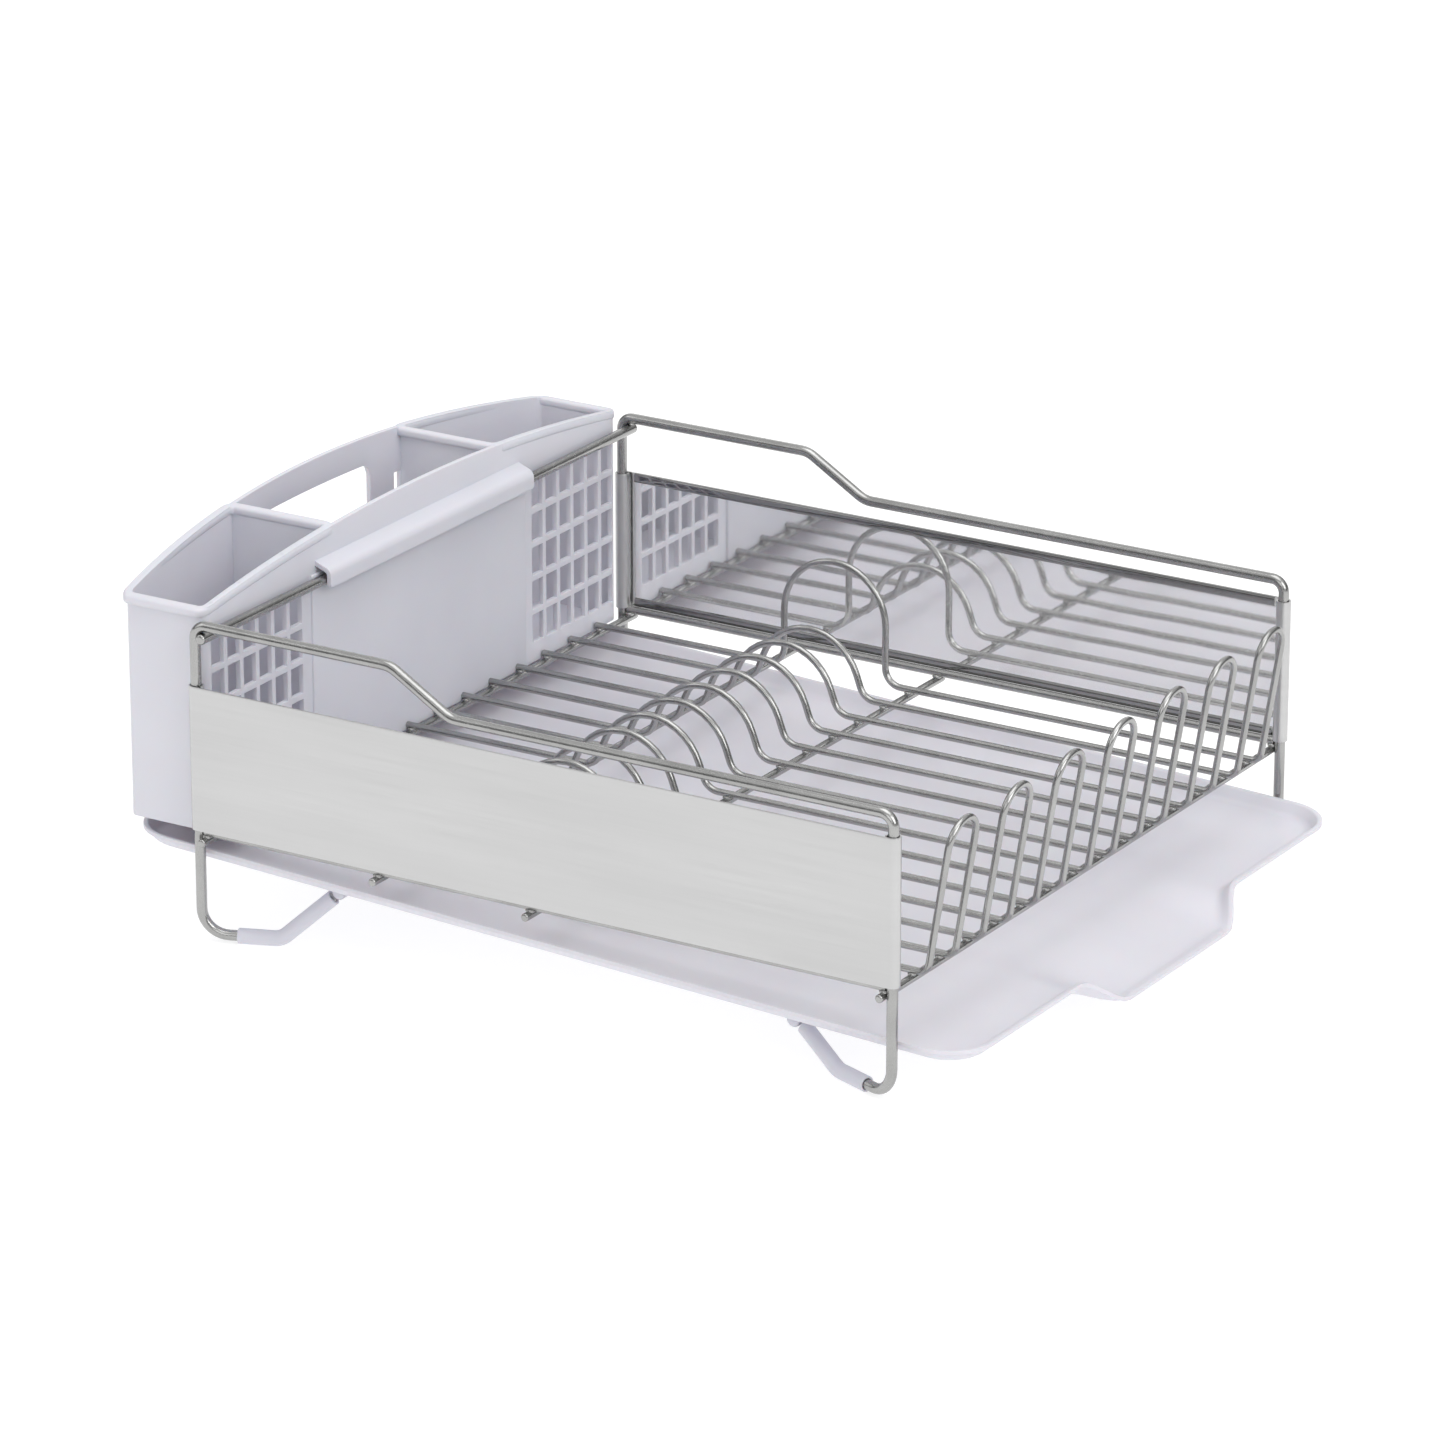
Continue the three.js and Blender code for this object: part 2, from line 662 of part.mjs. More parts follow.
// One ring round the tray: inset from the lip's outer edge, at a height, dipping at the spout.
function trayRing(inset, height, reach, drop) {
  const radius = Math.max(TRAY_CORNER - inset, 6);
  const nearY = TRAY_SIDE_GAP + inset;
  const farY = RACK_WIDTH - TRAY_SIDE_GAP - inset;
  const rear = TRAY_REAR + inset;
  const front = trayFront - inset;
  const corners = [
    corner(rear, nearY, 0, radius),
    corner(front, nearY, 0, radius),
  ];
  const steps = 16;
  for (let i = 0; i <= steps; i++) {
    const y = middle + SPOUT_HALF_TOP * ((2 * i) / steps - 1);
    corners.push(corner(front, y, 0));
  }
  corners.push(corner(front, farY, 0, radius), corner(rear, farY, 0, radius));
  return roundedPath(corners, true).map((p) => {
    const share = p.x > front - 0.01 ? spoutShare(p.y) : 0;
    return new THREE.Vector3(p.x + reach * share, p.y, height - drop * share);
  });
}

// Rings that all have the same number of points, skinned into a closed body.
function skin(rings) {
  const count = rings[0].length;
  const vertices = rings.flat();
  const index = [];
  for (let r = 0; r < rings.length - 1; r++) {
    for (let i = 0; i < count; i++) {
      const a = r * count + i;
      const b = r * count + ((i + 1) % count);
      index.push(a, b, b + count, a, b + count, a + count);
    }
  }
  const capFaces = (ring) => {
    const flat = ring.map((p) => new THREE.Vector2(p.x, p.y));
    return THREE.ShapeUtils.triangulateShape(flat, []);
  };
  for (const [a, b, c] of capFaces(rings[0])) {
    index.push(c, b, a);
  }
  const last = (rings.length - 1) * count;
  for (const [a, b, c] of capFaces(rings.at(-1))) {
    index.push(last + a, last + b, last + c);
  }
  const geometry = new THREE.BufferGeometry().setFromPoints(vertices);
  geometry.setIndex(index);
  return geometry;
}

// The whole moulding, with its lip level at the height of the origin.
function trayMoulding() {
  const wall = TRAY_LIP;
  const floorTop = -TRAY_DEPTH;
  const floorBottom = floorTop - TRAY_SHEET;
  const floorDrop = SPOUT_DROP - TRAY_DEPTH + SPOUT_WALL;
  const inner = wall + TRAY_FLARE;
  const rings = [
    trayRing(SPOUT_RUN, floorBottom, 0, 0),
    trayRing(inner, floorBottom, SPOUT_REACH, floorDrop),
    trayRing(wall, -TRAY_SHEET, SPOUT_REACH, SPOUT_DROP + SPOUT_WALL - TRAY_SHEET),
    trayRing(0, -TRAY_SHEET, SPOUT_REACH, SPOUT_DROP),
    trayRing(0, 0, SPOUT_REACH, SPOUT_DROP),
    trayRing(wall, 0, SPOUT_REACH, SPOUT_DROP),
    trayRing(inner, floorTop, SPOUT_REACH, floorDrop),
    trayRing(SPOUT_RUN, floorTop, 0, 0),
  ];
  return toSolid(skin(rings));
}

// The tray is one moulding, given as pieces a gap apart: two flat floors, two sides, a rear wall,
// two rear corners and a front end with the spout. Each is a simple shape, so the hollow above the
// floor stays open to anything that collides with it.
function trayPieces() {
  const whole = trayMoulding();
  const wallWidth = TRAY_LIP + TRAY_FLARE + TRAY_FOOT;
  const sideCut = TRAY_SIDE_GAP + wallWidth;
  const cornerSide = TRAY_SIDE_GAP + TRAY_CORNER;
  const wallCut = TRAY_REAR + wallWidth;
  const rearCut = TRAY_REAR + TRAY_CORNER;
  const frontCut = trayFront - SPOUT_RUN;
  const far = trayFront + RACK_WIDTH;
  const piece = (x0, x1, y0, y1) => {
    const cutter = wasm.Manifold.cube([x1 - x0, y1 - y0, 2 * far]).translate([x0, y0, -far]);
    const geometry = toGeometry(whole.intersect(cutter));
    geometry.rotateY(trayTurn);
    geometry.translate(0, 0, TRAY_LIP_HEIGHT);
    return geometry;
  };
  const half = GAP / 2;
  return {
    tray_floor: piece(
      rearCut + half, frontCut - half, sideCut + half, RACK_WIDTH - sideCut - half,
    ),
    tray_side_near: piece(rearCut + half, frontCut - half, -far, sideCut - half),
    tray_side_far: piece(rearCut + half, frontCut - half, RACK_WIDTH - sideCut + half, far),
    tray_floor_rear: piece(
      wallCut + half, rearCut - half, cornerSide + half, RACK_WIDTH - cornerSide - half,
    ),
    tray_rear: piece(
      -far, wallCut - half, cornerSide + half, RACK_WIDTH - cornerSide - half,
    ),
    tray_corner_near: piece(-far, rearCut - half, -far, cornerSide - half),
    tray_corner_far: piece(-far, rearCut - half, RACK_WIDTH - cornerSide + half, far),
    tray_front: piece(frontCut + half, far, -far, far),
  };
}

function supportBar(x) {
  const length = RACK_WIDTH - 2 * BAR_SIDE_INSET;
  const edge = 1.2;
  const profile = [
    new THREE.Vector2(0, -length / 2),
    new THREE.Vector2(BAR_RADIUS - edge, -length / 2),
    new THREE.Vector2(BAR_RADIUS, -length / 2 + edge),
    new THREE.Vector2(BAR_RADIUS, length / 2 - edge),
    new THREE.Vector2(BAR_RADIUS - edge, length / 2),
    new THREE.Vector2(0, length / 2),
  ];
  const geometry = new THREE.LatheGeometry(profile, 12);
  geometry.translate(x, middle, barHeight(x));
  return geometry;
}

// ---- Assembly -----------------------------------------------------------------------------------------

// The same piece on the far side.
function mirrored(geometry) {
  const copy = geometry.index ? geometry.toNonIndexed() : geometry.clone();
  copy.scale(1, -1, 1);
  copy.translate(0, RACK_WIDTH, 0);
  const position = copy.getAttribute('position');
  for (let i = 0; i < position.count; i += 3) {
    const kept = new THREE.Vector3().fromBufferAttribute(position, i + 1);
    const moved = new THREE.Vector3().fromBufferAttribute(position, i + 2);
    position.setXYZ(i + 1, moved.x, moved.y, moved.z);
    position.setXYZ(i + 2, kept.x, kept.y, kept.z);
  }
  return copy;
}

const rack = new THREE.Group();

function addPiece(name, geometry, color, metalness, roughness) {
  const material = new THREE.MeshStandardMaterial({ color, metalness, roughness });
  const clean = new THREE.BufferGeometry();
  clean.setAttribute('position', geometry.getAttribute('position'));
  if (geometry.index) {
    clean.setIndex(geometry.index);
  }
  const merged = mergeVertices(clean, 1e-4);
  merged.computeVertexNormals();
  const mesh = new THREE.Mesh(merged, material);
  mesh.name = name;
  rack.add(mesh);
}

function addWire(name, geometry) {
  addPiece(name, geometry, STEEL, 1, 0.35);
}

function addPlastic(name, geometry) {
  addPiece(name, geometry, WHITE_PLASTIC, 0, 0.45);
}

function addPair(name, geometry, add) {
  add(`${name}_near`, geometry);
  add(`${name}_far`, mirrored(geometry));
}

addPair('side_frame', sideFrame(), addWire);
addPair('bottom_rail', bottomRail(), addWire);
addPair('side_panel', sidePanel(), (name, geometry) => {
  addPiece(name, geometry, SHEET_STEEL, 1, 0.3);
});
addPair('foot_sleeve_rear', footSleeve(1, 0), addPlastic);
addPair('foot_sleeve_front', footSleeve(-1, RACK_LENGTH), addPlastic);

addWire('hanger_bar', straightAcross(
  hangerOffset, REAR_RAIL_HEIGHT - hangerOffset, FRAME_WIRE, FRAME_SIDES,
  -HANGER_OVERHANG, RACK_WIDTH + HANGER_OVERHANG,
));

const crossWires = {
  rear: crossInset,
  mid_rear: CROSS_MID_REAR,
  mid_front: CROSS_MID_FRONT,
  front: RACK_LENGTH - crossInset,
};
for (const [place, x] of Object.entries(crossWires)) {
  addWire(`cross_wire_${place}`, straightAcross(
    x, crossHeight, RAIL_WIRE, THIN_SIDES, -CROSS_OVERHANG, RACK_WIDTH + CROSS_OVERHANG,
  ));
}

for (let i = 0; i < PLATE_WIRE_COUNT; i++) {
  addWire(`plate_wire_${i + 1}`, plateWire(i));
}

addPlastic('tray_bar_rear', supportBar(BAR_INSET));
addPlastic('tray_bar_front', supportBar(RACK_LENGTH - BAR_INSET));
for (const [name, geometry] of Object.entries(trayPieces())) {
  addPlastic(name, geometry);
}
addPlastic('cutlery_caddy', cutleryCaddy());

// The origin stands at the middle of the footprint, on the floor.
const box = new THREE.Box3().setFromObject(rack);
const centre = box.getCenter(new THREE.Vector3());
for (const mesh of rack.children) {
  mesh.geometry.translate(-centre.x, -centre.y, -box.min.z);
}

export default rack;
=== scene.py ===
# %% [markdown]
# # A dish drying rack in bent wire, sheet steel and moulded plastic
#
# The rack is a welded wire basket between two sheet panels. A plastic cutlery caddy hangs on its
# rear bar, and a sloping plastic tray slides under it. The frame that is loaded here is the
# design: it holds every place, size and motion in metres. This lesson gives that frame its
# looks: round wires in place of faceted ones, soft moulded edges, and steel and plastic finishes.

# %% Load the frame
import math

import bmesh
import bpy
from mathutils import Matrix, Vector


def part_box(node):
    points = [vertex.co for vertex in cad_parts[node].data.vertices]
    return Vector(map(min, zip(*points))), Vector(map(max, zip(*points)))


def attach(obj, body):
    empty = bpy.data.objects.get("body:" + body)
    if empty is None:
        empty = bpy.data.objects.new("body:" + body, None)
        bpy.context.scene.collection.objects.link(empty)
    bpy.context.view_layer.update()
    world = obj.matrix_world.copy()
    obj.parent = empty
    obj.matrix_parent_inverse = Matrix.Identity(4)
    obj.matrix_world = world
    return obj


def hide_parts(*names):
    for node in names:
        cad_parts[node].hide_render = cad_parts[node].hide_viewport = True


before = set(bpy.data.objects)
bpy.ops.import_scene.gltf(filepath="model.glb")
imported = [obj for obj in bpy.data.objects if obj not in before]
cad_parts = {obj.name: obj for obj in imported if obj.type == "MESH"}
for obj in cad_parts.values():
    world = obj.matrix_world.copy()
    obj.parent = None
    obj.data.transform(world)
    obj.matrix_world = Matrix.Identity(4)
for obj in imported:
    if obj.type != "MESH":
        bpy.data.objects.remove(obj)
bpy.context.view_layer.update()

# %% [markdown]
# ## Where things are
#
# A welder works from a jig, and the jig here is the frame. Each part's box gives the middle of
# its wire, so the legs, rails and floor wires are found from the boxes of the rails, bars and
# cross wires. Only the wire sizes and a few offsets that a box can't show are named as numbers.
# The legs are taken from the ends of a bottom rail. The rail stops a millimetre short of the
# frame's legs, to clear the curl of the panel, so the legs drawn here stand that millimetre
# nearer each other than the frame's own.

# %% Measure the jig
MM = 0.001
FRAME_WIRE = 2.6 * MM      # radius of the side frames and the hanger bar
RAIL_WIRE = 2.0 * MM       # radius of the bottom rails and cross wires
PLATE_WIRE = 1.7 * MM      # radius of the plate wires
FIT = 0.3 * MM             # clearance the frame keeps between parts


def middle_of(node):
    low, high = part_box(node)
    return (Vector(low) + Vector(high)) / 2


rail_low, rail_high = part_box("bottom_rail_near")
rear_x = rail_low[0] - FRAME_WIRE - FIT
front_x = rail_high[0] + FRAME_WIRE + FIT
near_y = middle_of("bottom_rail_near").y
far_y = middle_of("bottom_rail_far").y
cross_z = middle_of("cross_wire_front").z
rod_z = cross_z + RAIL_WIRE + FIT + PLATE_WIRE
print(f"legs at x {rear_x:.4f} and {front_x:.4f}, y {near_y:.4f} and {far_y:.4f}")

# %% [markdown]
# ## The camera
#
# The rack is seen from its front corner, a little above, through a long lens that keeps its
# edges nearly parallel. The camera is placed by its angle round the object and its distance
# from a point in the middle of the rack.

# %% Set up the camera
VIEW_AZIMUTH = math.radians(31.56)
VIEW_ELEVATION = math.radians(20.106)
VIEW_DISTANCE = 3.5694
VIEW_POINT = Vector((-0.0034, -0.00303, 0.08655))
LENS = 186.08
SENSOR = 36.0
CLIP_END = 50

toward_camera = Vector((
    math.sin(VIEW_AZIMUTH) * math.cos(VIEW_ELEVATION),
    -math.cos(VIEW_AZIMUTH) * math.cos(VIEW_ELEVATION),
    math.sin(VIEW_ELEVATION),
))
lens = bpy.data.cameras.new("camera")
lens.lens = LENS
lens.sensor_width = SENSOR
lens.clip_end = CLIP_END
camera = bpy.data.objects.new("camera", lens)
camera.location = VIEW_POINT + toward_camera * VIEW_DISTANCE
camera.rotation_euler = (-toward_camera).to_track_quat("-Z", "Y").to_euler()
bpy.context.scene.collection.objects.link(camera)
bpy.context.scene.camera = camera
print("camera at", camera.location)

# %% [markdown]
# ## Node helpers
#
# Every finish below is a small graph: a pattern, a ramp that turns it into a colour or a
# roughness, and a bump. These helpers add one node each, so that a finish reads as a recipe.

# %% Helpers for finishes
def new_finish(name, **settings):
    """A material with its Principled shader's own sockets set."""
    finish = bpy.data.materials.new(name)
    finish.use_nodes = True
    shader = finish.node_tree.nodes["Principled BSDF"]
    for socket, value in settings.items():
        shader.inputs[socket.replace("_", " ")].default_value = value
    return finish, finish.node_tree, shader


def add_noise(tree, vector, scale, detail=3.0, stretch=(1, 1, 1)):
    """A noise pattern, drawn out along an axis by a small number in stretch."""
    mapping = tree.nodes.new("ShaderNodeMapping")
    mapping.inputs["Scale"].default_value = stretch
    tree.links.new(vector, mapping.inputs["Vector"])
    noise = tree.nodes.new("ShaderNodeTexNoise")
    noise.inputs["Scale"].default_value = scale
    noise.inputs["Detail"].default_value = detail
    tree.links.new(mapping.outputs["Vector"], noise.inputs["Vector"])
    return noise.outputs["Fac"]


def add_range(tree, value, low, high, start=0.3, end=0.7):
    """Turns a pattern into numbers between low and high."""
    ranged = tree.nodes.new("ShaderNodeMapRange")
    ranged.inputs["From Min"].default_value = start
    ranged.inputs["From Max"].default_value = end
    ranged.inputs["To Min"].default_value = low
    ranged.inputs["To Max"].default_value = high
    tree.links.new(value, ranged.inputs["Value"])
    return ranged.outputs["Result"]


def add_colours(tree, value, first, second):
    """Turns a pattern into colours between two."""
    ramp = tree.nodes.new("ShaderNodeValToRGB")
    ramp.color_ramp.elements[0].position = 0.3
    ramp.color_ramp.elements[0].color = (*first, 1)
    ramp.color_ramp.elements[1].position = 0.7
    ramp.color_ramp.elements[1].color = (*second, 1)
    tree.links.new(value, ramp.inputs["Fac"])
    return ramp.outputs["Color"]


def add_bump(tree, height, strength, distance, below=None):
    """Raises a pattern as relief, on top of another bump if one is given."""
    bump = tree.nodes.new("ShaderNodeBump")
    bump.inputs["Strength"].default_value = strength
    bump.inputs["Distance"].default_value = distance
    tree.links.new(height, bump.inputs["Height"])
    if below:
        tree.links.new(below, bump.inputs["Normal"])
    return bump.outputs["Normal"]


def object_place(tree):
    return tree.nodes.new("ShaderNodeTexCoord").outputs["Object"]


# %% [markdown]
# ## Drawn steel wire
#
# Stainless wire is pulled through a die, then the welded basket is polished in a bath of acid.
# That leaves a satin skin: faint scratches that run along the wire, and patches where the
# bath worked a little more or less. The scratches have to follow every bend, so each wire
# carries an attribute with its way round and its way along, and the grain reads that.

# %% Make the wire finish
ALONG_GRAIN = (1.0, 1.0, 0.05)    # the third number draws the scratches out along the wire
WIRE_DARK = (0.35, 0.35, 0.345)
WIRE_PALE = (0.43, 0.43, 0.424)


def wire_finish():
    finish, tree, shader = new_finish("satin wire", Metallic=1.0)
    grain_place = tree.nodes.new("ShaderNodeAttribute")
    grain_place.attribute_name = "wire_place"
    grain = add_noise(
        tree, grain_place.outputs["Vector"], scale=6.0, detail=4.0, stretch=ALONG_GRAIN)
    patches = add_noise(tree, object_place(tree), scale=45.0, detail=2.0)
    colour = add_colours(tree, patches, WIRE_DARK, WIRE_PALE)
    tree.links.new(colour, shader.inputs["Base Color"])
    tree.links.new(add_range(tree, grain, low=0.18, high=0.30), shader.inputs["Roughness"])
    tree.links.new(
        add_bump(tree, grain, strength=0.25, distance=0.00005), shader.inputs["Normal"])
    return finish


satin_wire = wire_finish()
print("finish:", satin_wire.name)

# %% [markdown]
# ## Brushed and bright sheet
#
# The panels are one sheet with two faces. The outer face is brushed on a belt, which leaves
# short level scratches that scatter light up and down, so the panel looks pale and even. The
# inner face keeps the bright skin of the rolling mill and reflects the wires like a dull
# mirror, with slow waves where the sheet isn't quite flat. The hems are the same bright skin,
# but their colour is painted dark: painted shade for the darker surroundings they face.

# %% Make the sheet finishes
LEVEL_SCRATCHES = (0.02, 0.02, 1.0)
LEVEL_BANDS = (0.25, 0.25, 1.0)
LEVEL_HAZE = (0.03, 0.03, 1.0)
BRUSHED_DARK = (0.555, 0.555, 0.555)
BRUSHED_PALE = (0.595, 0.595, 0.595)
BRIGHT_TONES = ((0.97, 0.97, 0.97), (0.99, 0.99, 0.99))
# The hems' colour is painted dark: painted shade for the darker surroundings they face.
HEM_PAINTED_SHADE_TONES = ((0.26, 0.26, 0.26), (0.34, 0.34, 0.34))


def brushed_finish():
    finish, tree, shader = new_finish("brushed sheet", Metallic=1.0)
    place = object_place(tree)
    scratches = add_noise(tree, place, scale=900.0, detail=4.0, stretch=LEVEL_SCRATCHES)
    bands = add_noise(tree, place, scale=22.0, detail=2.0, stretch=LEVEL_BANDS)
    colour = add_colours(tree, bands, BRUSHED_DARK, BRUSHED_PALE)
    tree.links.new(colour, shader.inputs["Base Color"])
    tree.links.new(add_range(tree, scratches, low=0.28, high=0.42), shader.inputs["Roughness"])
    tree.links.new(
        add_bump(tree, scratches, strength=0.35, distance=0.00006), shader.inputs["Normal"])
    return finish


def bright_finish(name, tones, metallic):
    finish, tree, shader = new_finish(name, Metallic=metallic)
    place = object_place(tree)
    waves = add_noise(tree, place, scale=18.0, detail=1.0)
    haze = add_noise(tree, place, scale=700.0, detail=3.0, stretch=LEVEL_HAZE)
    colour = add_colours(tree, waves, *tones)
    tree.links.new(colour, shader.inputs["Base Color"])
    tree.links.new(add_range(tree, haze, low=0.02, high=0.05), shader.inputs["Roughness"])
    slow = add_bump(tree, waves, strength=0.25, distance=0.0004)
    tree.links.new(
        add_bump(tree, haze, strength=0.05, distance=0.00001, below=slow),
        shader.inputs["Normal"])
    return finish


brushed_sheet = brushed_finish()
bright_sheet = bright_finish("bright sheet", BRIGHT_TONES, metallic=0.88)
# The hem finish is the bright skin with painted shade in its colour.
hem_painted_shade_sheet = bright_finish("hem sheet painted shade", HEM_PAINTED_SHADE_TONES, metallic=1.0)
print("finishes:", brushed_sheet.name, bright_sheet.name, "and", hem_painted_shade_sheet.name)

# %% [markdown]
# ## Moulded plastic
#
# The caddy, the tray and the feet are a pale grey plastic with a breath of violet. The mould
# is finely blasted, which gives a satin surface with tiny pits; use wears the high spots a
# little smoother. A trace of light travels inside the plastic and softens its shadows.

# %% Make the plastic finishes
FLOW_STRETCH = (1.0, 0.35, 1.0)
ROUGHNESS_SPREAD = 0.12
BODY_TONES = ((0.66, 0.66, 0.72), (0.70, 0.70, 0.755))
FOOT_TONES = ((0.60, 0.60, 0.67), (0.65, 0.65, 0.715))


def plastic_finish(name, tones, roughness):
    finish, tree, shader = new_finish(
        name, IOR=1.5, Subsurface_Weight=0.12, Subsurface_Scale=0.004)
    place = object_place(tree)
    tone = add_noise(tree, place, scale=16.0, detail=2.0)
    pits = add_noise(tree, place, scale=2600.0, detail=2.0)
    flow = add_noise(tree, place, scale=60.0, detail=3.0, stretch=FLOW_STRETCH)
    tree.links.new(add_colours(tree, tone, *tones), shader.inputs["Base Color"])
    worn = add_range(tree, flow, low=roughness, high=roughness + ROUGHNESS_SPREAD)
    tree.links.new(worn, shader.inputs["Roughness"])
    slow = add_bump(tree, flow, strength=0.12, distance=0.0004)
    tree.links.new(
        add_bump(tree, pits, strength=0.18, distance=0.00006, below=slow),
        shader.inputs["Normal"])
    return finish


satin_plastic = plastic_finish("satin plastic", BODY_TONES, roughness=0.34)
foot_plastic = plastic_finish("foot plastic", FOOT_TONES, roughness=0.46)
print("finishes:", satin_plastic.name, "and", foot_plastic.name)

# %% [markdown]
# ## Finishing a piece
#
# Each piece is shaped as a bmesh. The last steps are always the same: turn its faces outward,
# shade it smooth with crisp corners kept, give it its finish, tie it to the body that it moves
# with, and hide the frame's parts that it stands for. Rounding an edge and cutting a shape
# square are needed by many pieces, so they are helpers here too. A cut adds a row of corners,
# which is what lets a straight sheet be bowed, arched or drawn afterward.

# %% Helpers that every piece uses
SAME_PLACE = 1e-6          # corners closer than this are one corner
CUT_REACH = 0.7 * MM       # a cut uses the corners it finds this near


def round_off(work, parts, offset, segments, affect="EDGES"):
    """Rounds edges, or the corners of a flat shape."""
    bmesh.ops.bevel(
        work, geom=parts, offset=offset, segments=segments, profile=0.5, affect=affect,
        material=-1)


def cut(work, axis, at):
    """Cuts the shape square to an axis."""
    normal = Vector((0, 0, 0))
    normal[axis] = 1
    bmesh.ops.bisect_plane(
        work, geom=work.verts[:] + work.edges[:] + work.faces[:], dist=CUT_REACH,
        plane_co=normal * at, plane_no=normal)


def finish_piece(name, work, finish, nodes=(), body="rack", crisp=35):
    bmesh.ops.recalc_face_normals(work, faces=work.faces)
    mesh = bpy.data.meshes.new(name)
    work.to_mesh(mesh)
    work.free()
    mesh.shade_smooth()
    mesh.set_sharp_from_angle(angle=math.radians(crisp))
    mesh.materials.append(finish)
    piece = bpy.data.objects.new(name, mesh)
    bpy.context.scene.collection.objects.link(piece)
    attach(piece, body)
    if nodes:
        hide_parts(*nodes)
    print(f"{name}: {len(mesh.polygons)} faces")
    return piece


# %% [markdown]
# ## Bending wire
#
# A wire bender feeds straight lengths and turns bends. Blender's tools do the same: a ring is
# extruded for each straight run and spun round the bend's centre for each bend. A route is
# a list of corners, each with the radius of its bend, so a semicircle is two corners with a
# radius of half its width. Curves with a bevel would draw the same tubes, but the ring keeps a
# record of its way along the wire, which the grain needs.

# %% Helpers that bend wire
WIRE_SIDES = 20
BEND_STEP = math.radians(10)
HOLD = 1.0 * MM            # a short length at each end of a straight run


def new_ring_edges(grown):
    """The edges between vertices that were just made."""
    fresh = {part for part in grown if isinstance(part, bmesh.types.BMVert)}
    edges = [part for part in grown if isinstance(part, bmesh.types.BMEdge)]
    return fresh, [edge for edge in edges if all(v in fresh for v in edge.verts)]


def note_place(work, verts, along):
    """Writes the way along on a wire's newest ring. Its way round came from the ring before."""
    place = work.verts.layers.float_vector["wire_place"]
    for v in verts:
        v[place] = (v[place].x, v[place].y, along)


def feed(work, ring, step, along):
    """Feeds a straight length. Rings near its ends stop the bends from shading the whole run."""
    lengths = [step.length]
    if step.length > 4 * HOLD:
        lengths = [HOLD, step.length - 2 * HOLD, HOLD]
    for length in lengths:
        grown = bmesh.ops.extrude_edge_only(work, edges=ring)["geom"]
        fresh, ring = new_ring_edges(grown)
        bmesh.ops.translate(work, verts=list(fresh), vec=step.normalized() * length)
        along += length / MM
        note_place(work, fresh, along)
    return ring, along


def bend(work, ring, centre, axis, turn, radius, along):
    steps = max(2, math.ceil(turn / BEND_STEP))
    for _ in range(steps):
        grown = bmesh.ops.spin(
            work, geom=ring, cent=centre, axis=axis, angle=turn / steps, steps=1,
            use_duplicate=False, use_merge=False)["geom_last"]
        fresh, ring = new_ring_edges(grown)
        along += radius * turn / steps / MM
        note_place(work, fresh, along)
    return ring, along


def follow(work, ring, route):
    """Feeds and bends the open ring along a route of (corner, bend radius) pairs."""
    here = route[0][0]
    along = 0.0
    for (corner, radius), (after, _) in zip(route[1:-1], route[2:]):
        incoming = (corner - here).normalized()
        outgoing = (after - corner).normalized()
        turn = incoming.angle(outgoing)
        trim = radius * math.tan(turn / 2)
        start = corner - incoming * trim
        if (start - here).length > SAME_PLACE:
            ring, along = feed(work, ring, start - here, along)
        axis = incoming.cross(outgoing).normalized()
        centre = start + axis.cross(incoming) * radius
        ring, along = bend(work, ring, centre, axis, turn, radius, along)
        here = corner + outgoing * trim
    if (route[-1][0] - here).length > SAME_PLACE:
        ring, along = feed(work, ring, route[-1][0] - here, along)
    return ring


# %% [markdown]
# A cut wire end is tumbled until its edge is round, so both ends are capped and their rims
# bevelled. A sleeve end is cut square with a hole, so it is inset and pushed in instead.

# %% Helpers that make a whole wire
END_ROUNDING = 0.45        # rounding of a cut end, as a share of the wire's radius


def start_ring(work, radius, at, heading, sides=WIRE_SIDES):
    turn = heading.to_track_quat("Z", "Y").to_matrix().to_4x4()
    bmesh.ops.create_circle(
        work, segments=sides, radius=radius, matrix=Matrix.Translation(at) @ turn)
    place = work.verts.layers.float_vector.new("wire_place")
    for v in work.verts:
        out = turn.inverted() @ (v.co - at) / radius
        v[place] = (out.x, out.y, 0)
    return work.edges[:]


def bend_wire(route, radius):
    """A closed round wire along a route, with rounded ends."""
    wire = bmesh.new()
    first = start_ring(wire, radius, route[0][0], route[1][0] - route[0][0])
    last = follow(wire, first, route)
    for ring in (first, last):
        cap = bmesh.ops.edgeloop_fill(wire, edges=ring)["faces"]
        round_off(wire, list(cap[0].edges), radius * END_ROUNDING, 3)
    return wire


# %% [markdown]
# ## Side frames
#
# Each side of the rack is one long wire. It starts inside the rear foot's sleeve, runs along
# the counter, turns up into the rear leg, follows the top rail with its step down toward the
# plates, and returns through the front leg and foot. The feet turn inward, under the rack.

# %% Bend the side frames
TOP_BEND = 6.5 * MM
FOOT_BEND = 13 * MM
STEP_BEND = 14 * MM
STEP_START = 110 * MM      # along the top rail from the rear leg
STEP_END = 143 * MM
STEP_DROP = 19.8 * MM
HANGER_DROP = 5.9 * MM     # top rail centre above the hanger bar
FOOT_HEADING = math.radians(21)
FOOT_FLAT = 38.5 * MM      # length of foot on the counter, from the leg
FOOT_RISE_BEND = 9 * MM
FOOT_HEIGHT = 3.8 * MM     # wire centre above the counter, inside its sleeve
SLEEVE_START = 17.5 * MM
SLEEVE_STOP = 2.2 * MM     # a sleeve's top end stops this far short of the support bar

top_z = middle_of("hanger_bar").z + HANGER_DROP
bar_low, bar_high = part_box("tray_bar_rear")
bar_radius = (bar_high[0] - bar_low[0]) / 2


